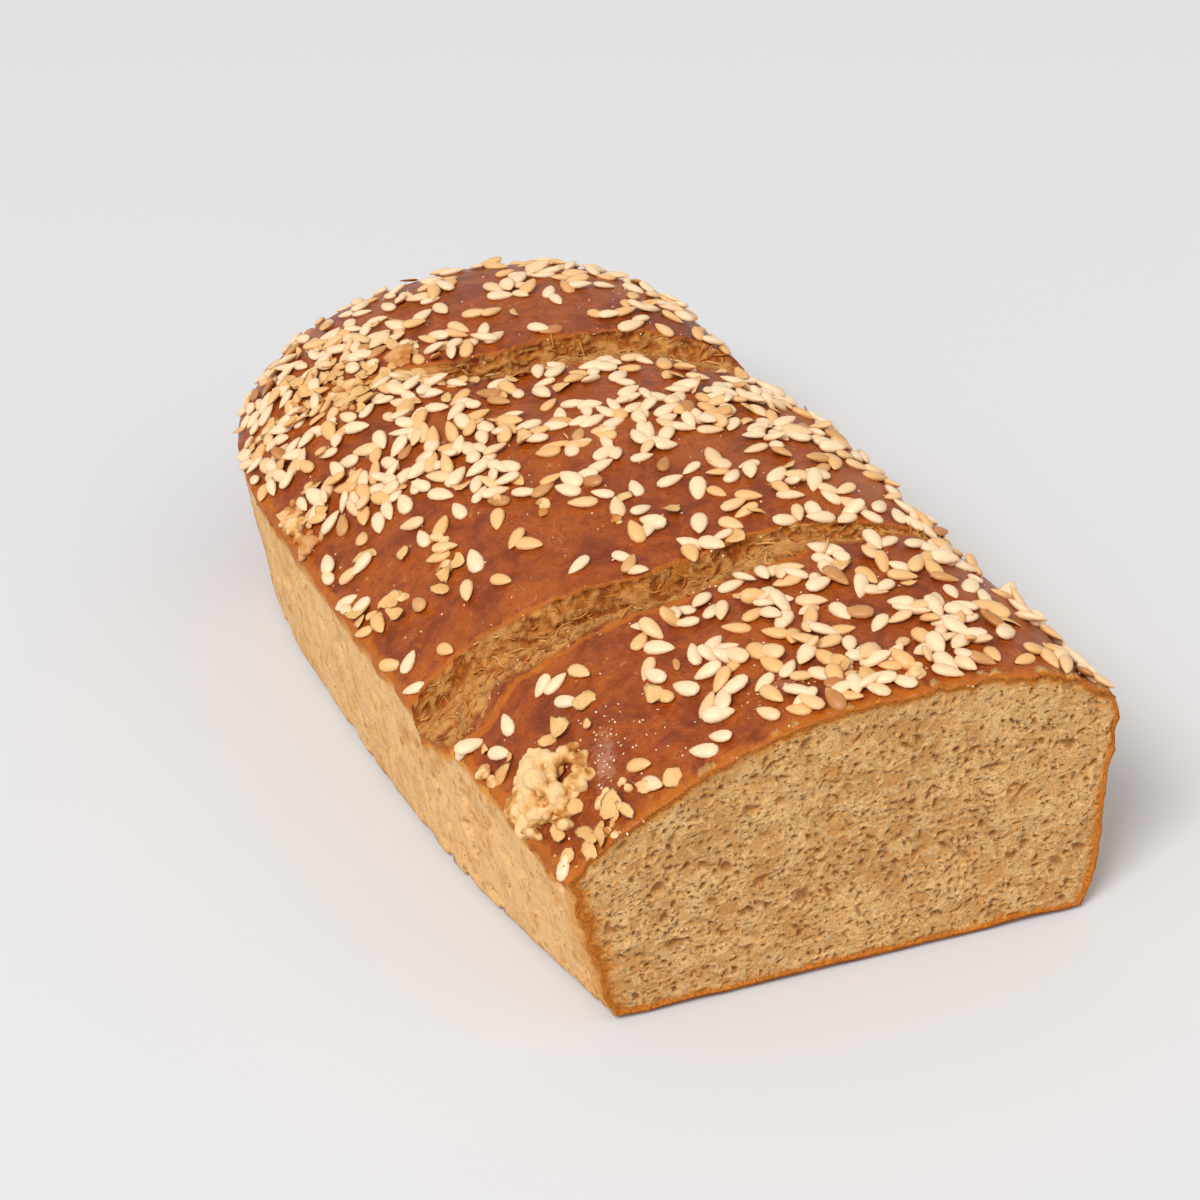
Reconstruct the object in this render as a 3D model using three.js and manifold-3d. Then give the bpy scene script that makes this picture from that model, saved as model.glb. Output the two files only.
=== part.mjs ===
// Half of a sesame-topped bread loaf, cut straight through, in millimetres with +Z up.
// The loaf lies along +Y with its rounded end at the back and the cut at the front; the origin
// is on its base, under the middle of its bounding box. Its body is one ruled skin: rows run
// across the loaf and follow the cut, both slashes and the round end, and columns run round the
// section. Seeds and flaky lumps of topping are fused to the crust.

import * as THREE from "three";
import { mergeVertices } from "three/addons/utils/BufferGeometryUtils.js";
import Module from "manifold-3d";

const wasm = await Module();
wasm.setup();

// ---- Driving dimensions

const TIP_Y = 78.9;              // the round end's furthest point
const ROUND_FROM_Y = 24.9;       // the end starts to draw in here
const ROUND_PLAN_POWER = 2.5;    // how square the end is, seen from above
const ROUND_SIDE_POWER = 2.6;    // and how long its top stays up, seen from the side
const ROUND_SIDE_ROOT = 0.42;
const TIP_Z = 11.0;              // height at which the end's skin comes together

const CUT_CORNER_X = -28.5;      // the cut's lower left corner
const CUT_CORNER_Y = -67.35;
const CUT_ANGLE = THREE.MathUtils.degToRad(10.5);   // the knife went across at a slant

const WIDEST = 34.0;             // half the width that rows are laid out over
const LEFT_LIP_X = -31.5;        // left edge of the crust at the cut
const LEFT_SWELL = 4.0;          // how much further out it is half way along
const RIGHT_SHOULDER_X = 33.2;
const RIGHT_SWELL = 2.0;
const LEFT_FOOT_INSET = 0.8;     // the base is this much narrower than the lip
const LEFT_FOOT_INSET_AT_CUT = 3.0;
const RIGHT_FOOT_INSET = 6.0;
const FOOT_ROUND = 1.5;          // the right foot is rounded off by this much
const FOOT_ROUND_HEIGHT = 4.0;
const BASE_FLAT_X = 20.0;        // the base is flat this far to either side of its middle
const BASE_RISE = 0.8;           // and its margins curl up by this much
const BASE_FLAT_FROM = 3 / 7;    // from this part of the way from the cut to the front slash
const BASE_FLAT_PAST = 0.5;      // the curl is full this part of the way along the round end

const LIP_Z = 24.8;              // height of the left lip, where the loaf was torn off
const LIP_DIP_AT_CUT = 2.4;
const SHOULDER_Z = 26.0;
const CREST_Z = 37.0;
const CREST_DIP_AT_CUT = 1.0;
const CREST_AT_CUT = 0.68;       // how far across the crest is, from 0 at the left lip to 1
const CREST_AT_BACK = 0.56;
const LEFT_ARCH = 2.8;           // powers of the two flanks of the crust
const RIGHT_ARCH = 2.0;

const FRONT_SLASH_Y = -26.1;     // rear lip of the front slash at the loaf's left edge
const FRONT_SLASH_BEND = 8.0;    // it runs this much nearer the cut in the middle
const FRONT_SLASH_TAIL = 7.0;    // and again this much at its right end
const FRONT_SLASH_OPEN_Y = -38.5;
const FRONT_SLASH_OPEN_BEND = 3.0;
const FRONT_SLASH_DEPTH = 4.0;
const FRONT_SLASH_END_DEPTH = 1.5;
const REAR_SLASH_Y = 28.4;       // rear lip of the rear slash at the middle
const REAR_SLASH_SLOPE = 0.64;   // it runs back towards the left
const REAR_SLASH_FALL = 0.0105;  // and curves forward towards the right
const REAR_SLASH_WIDTH = 7.5;
const REAR_SLASH_GROOVE_WIDTH = 3.0;
const REAR_SLASH_DEPTH = 3.2;
const REAR_SLASH_GROOVE_DEPTH = 1.0;
const LIP_RUN = 1.0;             // a slash's rear wall is this far from top to foot
const SHOULDER_LEAN = THREE.MathUtils.degToRad(80);   // slashes cut inwards at the shoulder

const FRONT_BULGE = 0.5;         // each of the three parts between slashes swells up
const MIDDLE_BULGE = 0.9;
const REAR_BULGE = 0.8;
const UNEVEN = 0.35;             // slow rise and fall of the whole crust

const ROWS = [7, 3, 1, 9, 2, 1, 9];   // rows between one guide line and the next
const LEFT_WALL_STEPS = 3;
const TOP_STEPS = 18;
const RIGHT_WALL_STEPS = 6;
const BASE_STEPS = 5;
const AROUND = LEFT_WALL_STEPS + TOP_STEPS + RIGHT_WALL_STEPS + BASE_STEPS;
const ALONG = ROWS.reduce((sum, n) => sum + n, 0);

const SEED = { length: 3.9, width: 2.3, thickness: 1.3, taper: 0.3, proud: 0.15 };
const SEED_COUNT = 180;
const SEED_SPACING = 4.6;
const SEED_CLEAR_OF_CUT = 3.2;
const SEED_SEGMENTS = 5;
const SEED_RINGS = 3;

// Lumps and flakes of topping: place, how far they spread and how many pieces each has.
const LUMPS = [
  { x: -28.0, y: -55.6, spread: 3.8, pieces: 8, size: 3.2 },    // at the front left corner
  { x: -32.6, y: -46.0, spread: 1.4, pieces: 2, size: 1.9 },
  { x: -23.6, y: -62.0, spread: 1.8, pieces: 3, size: 1.6 },
  { x: -33.0, y: 16.6, spread: 3.2, pieces: 6, size: 2.0 },     // on the left edge
  { x: -9.2, y: 37.0, spread: 1.8, pieces: 3, size: 2.2 },      // behind the rear slash
  { x: -18.4, y: 37.6, spread: 3.0, pieces: 4, size: 1.9 },
  { x: -29.6, y: -9.6, spread: 2.4, pieces: 3, size: 1.8 },
  { x: -21.9, y: -8.6, spread: 2.2, pieces: 3, size: 1.7 },
  { x: 12.0, y: -70.2, spread: 1.2, pieces: 3, size: 1.8 },     // close to the cut
];
const LUMP_FLATNESS = 0.6;       // height of a piece of a lump over its length
const LUMP_PROUD = 0.12;
const RANDOM_SEED = 20;

// ---- Small helpers

const { clamp, lerp } = THREE.MathUtils;

function ease(from, to, value) {
  const t = clamp((value - from) / (to - from), 0, 1);
  return t * t * (3 - 2 * t);
}

function randomFrom(seed) {
  let state = seed;
  return () => {
    state = (state + 0x6d2b79f5) | 0;
    let t = Math.imul(state ^ (state >>> 15), 1 | state);
    t = (t + Math.imul(t ^ (t >>> 7), 61 | t)) ^ t;
    return ((t ^ (t >>> 14)) >>> 0) / 4294967296;
  };
}

// A hump that is 0 at both ends of its stretch and 1 half way.
const hump = (f) => 4 * f * (1 - f);

// ---- Guide lines across the top: the y of each, at x from -WIDEST to WIDEST

const cutLine = (x) => CUT_CORNER_Y - Math.tan(CUT_ANGLE) * (x - CUT_CORNER_X);

const frontSlashLip = (x) =>
  FRONT_SLASH_Y - FRONT_SLASH_BEND * ease(-34, 2, x) - FRONT_SLASH_TAIL * ease(8, 34, x);

const frontSlashOpen = (x) =>
  Math.min(FRONT_SLASH_OPEN_Y - FRONT_SLASH_OPEN_BEND * ease(-20, 10, x),
    frontSlashLip(x) - LIP_RUN - 0.5);

function rearSlashLip(x) {
  const leftward = (Math.hypot(x + 3, 3) - (x + 3)) / 2;
  return REAR_SLASH_Y + REAR_SLASH_SLOPE * leftward - REAR_SLASH_FALL * Math.max(0, x - 2) ** 2;
}

const rearSlashOpen = (x) =>
  rearSlashLip(x) - lerp(REAR_SLASH_GROOVE_WIDTH, REAR_SLASH_WIDTH, ease(-12, 3, x))
    - 3.5 * ease(3, 30, x);

const GUIDES = [
  cutLine,
  frontSlashOpen,
  (x) => frontSlashLip(x) - LIP_RUN,
  frontSlashLip,
  rearSlashOpen,
  (x) => rearSlashLip(x) - LIP_RUN,
  rearSlashLip,
];

// How far the crust lies under its smooth arch, part of the way from one guide to the next.
function sink(guide, part, x) {
  const front = lerp(FRONT_SLASH_DEPTH, FRONT_SLASH_END_DEPTH, ease(-2, 14, x))
    * (1 - ease(24, 33, x));
  const rear = lerp(REAR_SLASH_GROOVE_DEPTH, REAR_SLASH_DEPTH, ease(-12, 0, x))
    * (1 - 0.5 * ease(28, 34, x));
  return [
    -FRONT_BULGE * hump(part),
    front * part ** 1.2,
    front * (1 - part),
    -MIDDLE_BULGE * hump(part),
    rear * part,
    rear * (1 - part),
    -REAR_BULGE * hump(part),
  ][guide];
}

// ---- The section

const swell = (y, middle, half) => 1 - ((y - middle) / half) ** 2;
const leftLipX = (y) => LEFT_LIP_X - LEFT_SWELL * swell(y, 1.9, 72);
const rightShoulderX = (y) => RIGHT_SHOULDER_X + RIGHT_SWELL * swell(y, 10.9, 90);
const leftFootX = (y) =>
  leftLipX(y) + lerp(LEFT_FOOT_INSET_AT_CUT, LEFT_FOOT_INSET, ease(-69, -23, y));

// Height of the crust's smooth arch, `across` from 0 at the left lip to 1 at the right shoulder.
function arch(across, y) {
  const crestAt = lerp(CREST_AT_CUT, CREST_AT_BACK, ease(-63, 27, y));
  const crest = CREST_Z - CREST_DIP_AT_CUT * (1 - ease(-63, -23, y));
  const lip = LIP_Z - LIP_DIP_AT_CUT * (1 - ease(-69, -33, y));
  if (across < crestAt) {
    return lip + (crest - lip) * (1 - (1 - across / crestAt) ** LEFT_ARCH);
  }
  const out = (across - crestAt) / (1 - crestAt);
  return SHOULDER_Z + (crest - SHOULDER_Z) * (1 - out ** RIGHT_ARCH) ** (1 / RIGHT_ARCH);
}

const uneven = (x, y) =>
  UNEVEN * (Math.sin(x / 9 + 1.3) * Math.cos(y / 11) + 0.7 * Math.sin(x / 5.5 - y / 8 + 0.7));

// The row at step `along` lies between two guides, or between the last guide and the tip.
function rowY(row, x) {
  if (row.guide === GUIDES.length - 1) {
    const last = rearSlashLip(x);
    return last + (TIP_Y - last) * Math.sin(row.part * Math.PI / 2);
  }
  return lerp(GUIDES[row.guide](x), GUIDES[row.guide + 1](x), row.part);
}

// Towards the tip the section draws in to its middle line and down to TIP_Z.
function rounding(y) {
  const q = clamp((y - ROUND_FROM_Y) / (TIP_Y - ROUND_FROM_Y), 0, 1);
  return {
    q,
    wide: Math.max(0, 1 - q ** ROUND_PLAN_POWER) ** (1 / ROUND_PLAN_POWER),
    high: Math.max(0, 1 - q ** ROUND_SIDE_POWER) ** ROUND_SIDE_ROOT,
  };
}

const drawIn = (x, y, wide) => {
  const middle = (leftLipX(y) + rightShoulderX(y)) / 2;
  return middle + (x - middle) * wide;
};

function topPoint(across, row) {
  const x = lerp(-WIDEST, WIDEST, across);
  const y = rowY(row, x);
  const { wide, high } = rounding(y);
  const flat = drawIn(lerp(leftLipX(y), rightShoulderX(y), across), y, wide);
  const down = sink(row.guide, row.part, x) - uneven(flat, y) * high * Math.sin(Math.PI * across);
  const lean = SHOULDER_LEAN * ease(0.72, 1.08, across);
  return new THREE.Vector3(
    flat - down * Math.sin(lean),
    y,
    TIP_Z + (arch(across, y) - TIP_Z) * high - down * Math.cos(lean) * Math.min(1, high * 1.5),
  );
}

const footZ = (q) => BASE_RISE + (TIP_Z - BASE_RISE) * q ** 12;

function leftWallPoint(up, row) {
  const lip = topPoint(0, row);
  const { q, wide } = rounding(lip.y);
  const footX = drawIn(leftFootX(lip.y), lip.y, wide);
  return new THREE.Vector3(
    lerp(footX, lip.x, up ** 0.75), lip.y, lerp(footZ(q), lip.z, up),
  );
}

// The slashes end in a notch at the right shoulder that runs out a little way down the wall.
function rightWallPoint(up, row) {
  const shoulder = topPoint(1, row);
  const { q, wide } = rounding(shoulder.y);
  const z = lerp(footZ(q), shoulder.z, up);
  const foot = FOOT_ROUND * (1 - clamp((z - footZ(q)) / FOOT_ROUND_HEIGHT, 0, 1)) ** 2;
  const inset = (RIGHT_FOOT_INSET - FOOT_ROUND) * (1 - up) ** 0.9 + foot;
  const plainX = drawIn(rightShoulderX(shoulder.y), shoulder.y, wide);
  return new THREE.Vector3(lerp(plainX, shoulder.x, up ** 3) - inset * wide, shoulder.y, z);
}

// How much of the curl of the base's margins a row has, from 0 on the flat to 1.
function curl({ guide, part }) {
  if (guide === 0) return clamp(1 - part / BASE_FLAT_FROM, 0, 1);
  return guide === GUIDES.length - 1 ? clamp(part / BASE_FLAT_PAST, 0, 1) : 0;
}

// The base lies between the two feet, and only the columns between its edges come down flat.
function basePoint(across, row) {
  const left = leftWallPoint(0, row);
  const right = rightWallPoint(0, row);
  if (across === 1) return right;
  const y = lerp(left.y, right.y, across);
  const { q, wide } = rounding(y);
  const margin = 1 / BASE_STEPS;
  const flat = lerp(-BASE_FLAT_X, BASE_FLAT_X, (across - margin) / (1 - 2 * margin));
  const z = lerp(BASE_RISE * curl(row), TIP_Z, q ** 12);
  return new THREE.Vector3(drawIn(flat, y, wide), y, z);
}

// Column 0 is the left foot; columns go up the left wall, over the top and round the base.
function skinPoint(column, row) {
  let step = column % AROUND;
  if (step < LEFT_WALL_STEPS) return leftWallPoint(step / LEFT_WALL_STEPS, row);
  step -= LEFT_WALL_STEPS;
  if (step < TOP_STEPS) return topPoint(acrossAt(step / TOP_STEPS), row);
  step -= TOP_STEPS;
  if (step < RIGHT_WALL_STEPS) return rightWallPoint(1 - (step / RIGHT_WALL_STEPS) ** 0.8, row);
  step -= RIGHT_WALL_STEPS;
  return basePoint(1 - step / BASE_STEPS, row);
}

// Columns crowd towards the right shoulder, where the crust turns over.
const acrossAt = (s) => lerp(s, Math.sin(s * Math.PI / 2), 0.55);

// ---- Body

function rowTable() {
  const rows = [];
  ROWS.forEach((count, guide) => {
    for (let i = 0; i < count; i += 1) rows.push({ guide, part: i / count });
  });
  rows.push({ guide: GUIDES.length - 1, part: 1 });
  return rows;
}

function solidFrom(geometry) {
  const bare = geometry.clone();
  bare.deleteAttribute("normal");
  bare.deleteAttribute("uv");
  const merged = mergeVertices(bare, 1e-3);
  const corners = merged.index.array;
  const kept = [];
  for (let i = 0; i < corners.length; i += 3) {
    const [a, b, c] = [corners[i], corners[i + 1], corners[i + 2]];
    if (a !== b && b !== c && c !== a) kept.push(a, b, c);
  }
  return new wasm.Manifold(new wasm.Mesh({
    numProp: 3,
    vertProperties: new Float32Array(merged.attributes.position.array),
    triVerts: new Uint32Array(kept),
  }));
}

// A cylinder's wall becomes the skin, its lower cap the cut face, and its upper cap the tip.
function bodySolid() {
  const rows = rowTable();
  const geometry = new THREE.CylinderGeometry(1, 1, 1, AROUND, ALONG);
  const position = geometry.attributes.position;
  const cutMiddle = new THREE.Vector3(2, cutLine(2), 18);
  for (let i = 0; i < position.count; i += 1) {
    const [x, h, z] = [position.getX(i), position.getY(i), position.getZ(i)];
    const row = rows[Math.round((h + 0.5) * ALONG)];
    const turn = Math.atan2(x, z) / (2 * Math.PI);
    const column = Math.round((1 + turn) * AROUND) % AROUND;
    const onAxis = Math.hypot(x, z) < 0.5;
    const point = onAxis && h < 0 ? cutMiddle : skinPoint(column, row);
    position.setXYZ(i, point.x, point.y, point.z);
  }
  return solidFrom(geometry);
}

// ---- Topping

// The row of a given y at a place across, found by halving.
function topAt(across, y) {
  const rows = rowTable();
  const x = lerp(-WIDEST, WIDEST, across);
  let guide = GUIDES.length - 1;
  while (guide > 0 && GUIDES[guide](x) > y) guide -= 1;
  let [low, high] = [0, 1];
  for (let i = 0; i < 24; i += 1) {
    const middle = (low + high) / 2;
    if (rowY({ guide, part: middle }, x) < y) low = middle;
    else high = middle;
  }
  return topPoint(across, { guide, part: low });
}

// A point on the crust with its upward normal, from nearby points of the same skin.
function crustFrame(across, y) {
  const step = 0.6;
  const alongStep = topAt(across, y + step).sub(topAt(across, y - step));
  const acrossStep = topAt(Math.min(1, across + 0.01), y).sub(topAt(Math.max(0, across - 0.01), y));
  const normal = acrossStep.cross(alongStep).normalize();
  return { point: topAt(across, y), normal };
}

// Seeds lie thickest on the right of the front part, towards the rear slash on the middle
// part, and on the left of the rear part. None lie in the torn floors of the slashes.
function seedDensity(across, y) {
  const x = lerp(-WIDEST, WIDEST, across);
  if (y < cutLine(x) + SEED_CLEAR_OF_CUT) return 0;
  if (y < frontSlashOpen(x) - 1) return 0.3 + 0.7 * ease(-14, 8, x);
  if (y < frontSlashLip(x) + 1.5) return 0;
  const forward = (y - frontSlashLip(x)) / (rearSlashOpen(x) - frontSlashLip(x));
  if (forward < 1) return lerp(0.25 + 0.3 * ease(-10, 14, x), 1, ease(0.15, 0.7, forward));
  if (y < rearSlashLip(x) + 1.5) return 0;
  return lerp(1, 0.5, ease(-20, 10, x)) * lerp(1, 0.15, ease(60, 74, y));
}

function seedSolid({ point, normal }, heading, grown) {
  const geometry = new THREE.SphereGeometry(1, SEED_SEGMENTS, SEED_RINGS);
  const position = geometry.attributes.position;
  for (let i = 0; i < position.count; i += 1) {
    const t = position.getY(i);
    const slim = 1 - SEED.taper * t;
    position.setX(i, position.getX(i) * slim);
    position.setZ(i, position.getZ(i) * slim);
  }
  geometry.scale(SEED.width / 2 * grown, SEED.length / 2 * grown, SEED.thickness / 2);
  const forward = new THREE.Vector3(Math.cos(heading), Math.sin(heading), 0);
  const side = forward.clone().cross(normal).normalize();
  forward.copy(normal).cross(side);
  const centre = point.clone().addScaledVector(normal, SEED.proud);
  geometry.applyMatrix4(new THREE.Matrix4().makeBasis(side, forward, normal).setPosition(centre));
  return solidFrom(geometry);
}

function seedSolids(random) {
  const placed = [];
  const solids = [];
  for (let tries = 0; tries < 40000 && solids.length < SEED_COUNT; tries += 1) {
    const across = 0.03 + 0.94 * random();
    const y = lerp(CUT_CORNER_Y - 11, TIP_Y - 3, random());
    const wanted = random() < seedDensity(across, y);
    if (!wanted || rounding(y).wide < 0.35 || random() > rounding(y).wide) continue;
    const frame = crustFrame(across, y);
    if (LUMPS.some((lump) => Math.hypot(frame.point.x - lump.x, y - lump.y) < lump.spread + 3)) {
      continue;
    }
    if (placed.some((other) => other.distanceTo(frame.point) < SEED_SPACING)) continue;
    placed.push(frame.point);
    solids.push(seedSolid(frame, random() * 2 * Math.PI, 0.92 + 0.16 * random()));
  }
  return solids;
}

// A lump is a few faceted crumbs that overlap and sit half in the crust.
function lumpSolids(lump, random) {
  const solids = [];
  for (let i = 0; i < lump.pieces; i += 1) {
    const turn = 2.4 * i;
    const out = lump.spread * Math.sqrt(i / lump.pieces);
    const [x, y] = [lump.x + out * Math.cos(turn), lump.y + out * Math.sin(turn)];
    const { wide } = rounding(y);
    const middle = (leftLipX(y) + rightShoulderX(y)) / 2;
    const flat = middle + (x - middle) / wide;
    const across = clamp((flat - leftLipX(y)) / (rightShoulderX(y) - leftLipX(y)), 0.02, 0.98);
    const { point, normal } = crustFrame(across, y);
    const size = lump.size * (0.75 + 0.4 * random());
    const geometry = new THREE.SphereGeometry(1, SEED_SEGMENTS + 1, SEED_RINGS);
    geometry.scale(size, size * (0.6 + 0.3 * random()), size * LUMP_FLATNESS);
    geometry.rotateZ(random() * Math.PI);
    geometry.rotateX(0.4 * (random() - 0.5));
    geometry.translate(point.x, point.y, point.z + size * LUMP_PROUD * normal.z);
    solids.push(solidFrom(geometry));
  }
  return solids;
}

// ---- The loaf

function meshFrom(solid, name, material) {
  const { numProp, vertProperties, triVerts } = solid.getMesh();
  const geometry = new THREE.BufferGeometry();
  const points = new Float32Array((vertProperties.length / numProp) * 3);
  for (let i = 0; i < points.length / 3; i += 1) {
    points.set(vertProperties.subarray(i * numProp, i * numProp + 3), i * 3);
  }
  geometry.setAttribute("position", new THREE.BufferAttribute(points, 3));
  geometry.setIndex(new THREE.BufferAttribute(new Uint32Array(triVerts), 1));
  geometry.computeVertexNormals();
  const mesh = new THREE.Mesh(geometry, material);
  mesh.name = name;
  return mesh;
}

const random = randomFrom(RANDOM_SEED);
const toppings = [
  ...LUMPS.flatMap((lump) => lumpSolids(lump, random)),
  ...seedSolids(random),
];
const loafSolid = toppings.reduce((whole, piece) => whole.add(piece), bodySolid());
const crust = new THREE.MeshStandardMaterial({ color: 0xa9592c, roughness: 0.62, metalness: 0 });

const loaf = new THREE.Group();
loaf.add(meshFrom(loafSolid, "loaf", crust));

export default loaf;
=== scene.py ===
"""Dresses half of a sesame-topped bread loaf in its crust, crumb, seeds and topping.

The loaf lies along +Y with its cut face at the front and its rounded end at the back. Shapes are
worked out in millimetres as whole numpy arrays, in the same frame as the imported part, and put
into meshes in metres. Every piece stands for the frame's node "loaf" and rides on "root".
"""

import functools
import math

import bpy
import numpy as np
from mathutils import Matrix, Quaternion, Vector


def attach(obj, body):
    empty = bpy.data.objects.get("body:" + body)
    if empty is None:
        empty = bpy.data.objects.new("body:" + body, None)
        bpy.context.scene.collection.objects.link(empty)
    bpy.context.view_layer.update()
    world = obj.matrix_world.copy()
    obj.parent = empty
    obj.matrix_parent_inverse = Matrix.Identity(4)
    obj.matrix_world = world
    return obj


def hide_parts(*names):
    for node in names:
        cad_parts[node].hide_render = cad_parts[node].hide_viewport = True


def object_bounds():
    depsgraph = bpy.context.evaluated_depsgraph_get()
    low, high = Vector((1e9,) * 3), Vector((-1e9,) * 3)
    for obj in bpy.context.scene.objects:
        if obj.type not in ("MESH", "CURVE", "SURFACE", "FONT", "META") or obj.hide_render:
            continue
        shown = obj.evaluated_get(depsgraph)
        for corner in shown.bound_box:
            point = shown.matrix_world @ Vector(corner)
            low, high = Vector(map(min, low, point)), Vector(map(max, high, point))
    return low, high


bl_info = {
    "name": "Half Sesame Loaf",
    "version": (1, 0, 0),
    "blender": (4, 5, 0),
    "location": "View3D > Sidebar > Loaf",
    "description": "Half of a sesame-topped bread loaf, with the floor and lights to show it",
    "category": "Add Mesh",
}

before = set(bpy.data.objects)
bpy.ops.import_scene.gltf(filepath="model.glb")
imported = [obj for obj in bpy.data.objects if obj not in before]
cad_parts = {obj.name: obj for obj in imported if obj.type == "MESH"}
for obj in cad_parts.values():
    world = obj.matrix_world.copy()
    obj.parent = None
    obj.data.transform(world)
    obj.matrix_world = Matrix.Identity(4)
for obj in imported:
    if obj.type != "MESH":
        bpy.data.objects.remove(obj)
CAD_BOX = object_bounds()

MM = 0.001
NODE = "loaf"

# ---- The loaf's dimensions in millimetres, as in the frame

TIP_Y = 78.9                # the round end's furthest point
TIP_Z = 11.0                # and the height at which its skin comes together
ROUND_FROM_Y = 24.9         # where the loaf starts to narrow
ROUND_PLAN_POWER = 2.5      # superellipse of the round end seen from above
ROUND_SIDE_POWER = 2.6      # and from the side, with the root that closes it
ROUND_SIDE_ROOT = 0.42
CUT_CORNER_X = -28.5        # the cut's left corner
CUT_CORNER_Y = -67.35
CUT_SLOPE = math.tan(math.radians(10.5))
INTO_LOAF = np.array([CUT_SLOPE, 1.0, 0.0]) / math.hypot(CUT_SLOPE, 1.0)
SQUARE_TO_CUT = 0.98        # about the cosine of the cut's slant
WIDEST = 34.0               # half the loaf's width, about
LEFT_LIP_X = -31.5          # the top's left edge at the ends
LEFT_SWELL = 4.0            # and how much further out it lies half way along
RIGHT_SHOULDER_X = 33.2     # the same for the right edge
RIGHT_SWELL = 2.0
LEFT_FOOT_INSET = 3.0       # the left wall's foot lies in by this much at the cut
LEFT_FOOT_INSET_BACK = 0.8  # and by this much further back
RIGHT_FOOT_INSET = 6.0
FOOT_ROUND = 1.5            # rounding of the right wall's foot
FOOT_ROUND_HEIGHT = 4.0
BASE_RISE = 0.8             # the base's margins curl up by this much
LIP_Z = 24.8                # height of the top's left edge
LIP_DROP = 2.4              # and how much lower it is at the cut
SHOULDER_Z = 26.0           # height of the top's right edge
CREST_Z = 37.0              # height of the crest, which is 1 lower at the cut
LEFT_ARCH = 2.8             # powers of the arch on either side of the crest
RIGHT_ARCH = 2.0
FRONT_SLASH_Y = -26.1       # the front slash's rear lip at the left
FRONT_SLASH_SKEW = 8.0      # and how far forward it runs to the middle
FRONT_SLASH_BEND = 7.0      # and again to the right edge
FRONT_OPEN_Y = -38.5        # the front slash's nearer edge at the left
FRONT_OPEN_SKEW = 3.0
REAR_SLASH_Y = 28.4         # the rear slash's rear lip in the middle
REAR_SLASH_SKEW = 0.64      # slope of its left half
REAR_SLASH_BEND = 0.0105    # bend of its right half
REAR_NARROW = 3.0           # width of the rear slash at the left
REAR_WIDE = 7.5             # and in the middle
REAR_WIDENING = 3.5         # and how much wider still at the right
LIP_RUN = 1.0               # a slash's rear wall is this far from top to foot
SHOULDER_LEAN = math.radians(80)    # how far the slashes lean outwards at the right edge
UNEVEN = 0.35               # size of the slow waves in the top

# The stretches along the top, from one guide line to the next: three baked parts, and between
# them the floor and the rear wall of each slash. ROWS has the rows in each.
FRONT_PART, FRONT_FLOOR, FRONT_WALL, MIDDLE_PART, REAR_FLOOR, REAR_WALL, BACK_PART = range(7)
ROWS = (50, 44, 10, 66, 38, 10, 76)
FRONT_DEPTHS = (4.0, 1.5)   # depth of the front slash at the left and at the right
REAR_DEPTHS = (1.0, 3.2)    # and of the rear one
BULGES = (0.5, 0.9, 0.8)    # how far the three baked parts rise between their ends

# Columns round the section, from the left foot over the top and back along the base.
LEFT_COLUMNS = 38
TOP_COLUMNS = 210
RIGHT_COLUMNS = 36
BASE_COLUMNS = 30

RIM = 0.25                  # width of the crust's own edge round the cut
RIM_DROP = 0.2              # and how far it turns in
RECESS = 2.4                # the crust's end cap lies this far behind the cut
CRUMB_COLUMNS = 390         # points across the crumb
CRUMB_ROWS = 220            # and up it
CRUMB_INSET = 0.12          # the crumb starts this far inside the crust's edge
CRUMB_SINK = 0.36           # and lies about this far behind it
LEAST_SINK = 0.02           # and at least this far
SEED_SPACING = 1.25         # seeds' middles keep this far apart
SEED_THICKNESS = 0.27       # of a seed's length
STRAND_RADIUS = 0.12        # of a torn strand at its middle
TRIES = 14                  # places tried for each seed, flake or grain that is wanted
THREAD_WIDTH = 0.15         # share of the noise's range that makes a thread
LIP_WIDTH = 0.9             # how far the slashes' amber lips reach
RIM_REACH = 2.4             # how far the amber rim reaches back from the cut


# ---- The stage, in metres

CAMERA_PLACE = (-0.1121, -0.30665, 0.2277)
CAMERA_AIM = (0.0, -0.004, 0.014)
LIGHT_AIM = (0.0, 0.0, 0.02)
KEY_PLACE = (-1.1, -0.9, 1.9)
KEY_SIZE = 1.0
FILL_PLACE = (1.3, -1.5, 1.3)
FILL_SIZE = 1.6
FLOOR_HALF = 3.0


# ---- Numbers and noise

def lerp(start, end, part):
    """Part of the way from start to end."""
    return start + (end - start) * part


def ease(start, end, value):
    """0 before start, 1 after end, and in between 3t^2 - 2t^3 of the way t."""
    t = np.clip((value - start) / (end - start), 0, 1)
    return t * t * (3 - 2 * t)


def unit(vectors):
    """Vectors of the same directions and length 1."""
    return vectors / np.linalg.norm(vectors, axis=-1, keepdims=True)


def bell(value, width):
    """exp(-(value / width)^2): 1 at 0, falling off to either side."""
    return np.exp(-((value / width) ** 2))


def hashed(x, y, z, seed):
    """A number from 0 to 1 for each whole-number corner: its bits multiplied and folded."""
    n = (
        x.astype(np.uint32) * np.uint32(374761393)
        + y.astype(np.uint32) * np.uint32(668265263)
        + z.astype(np.uint32) * np.uint32(2246822519)
        + np.uint32(seed * 40503 + 977)
    )
    n = (n ^ (n >> np.uint32(13))) * np.uint32(1274126177)
    n = (n ^ (n >> np.uint32(16))) * np.uint32(2654435769)
    n = n ^ (n >> np.uint32(15))
    return (n & np.uint32(0xFFFFFF)).astype(np.float64) / 0xFFFFFF


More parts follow.
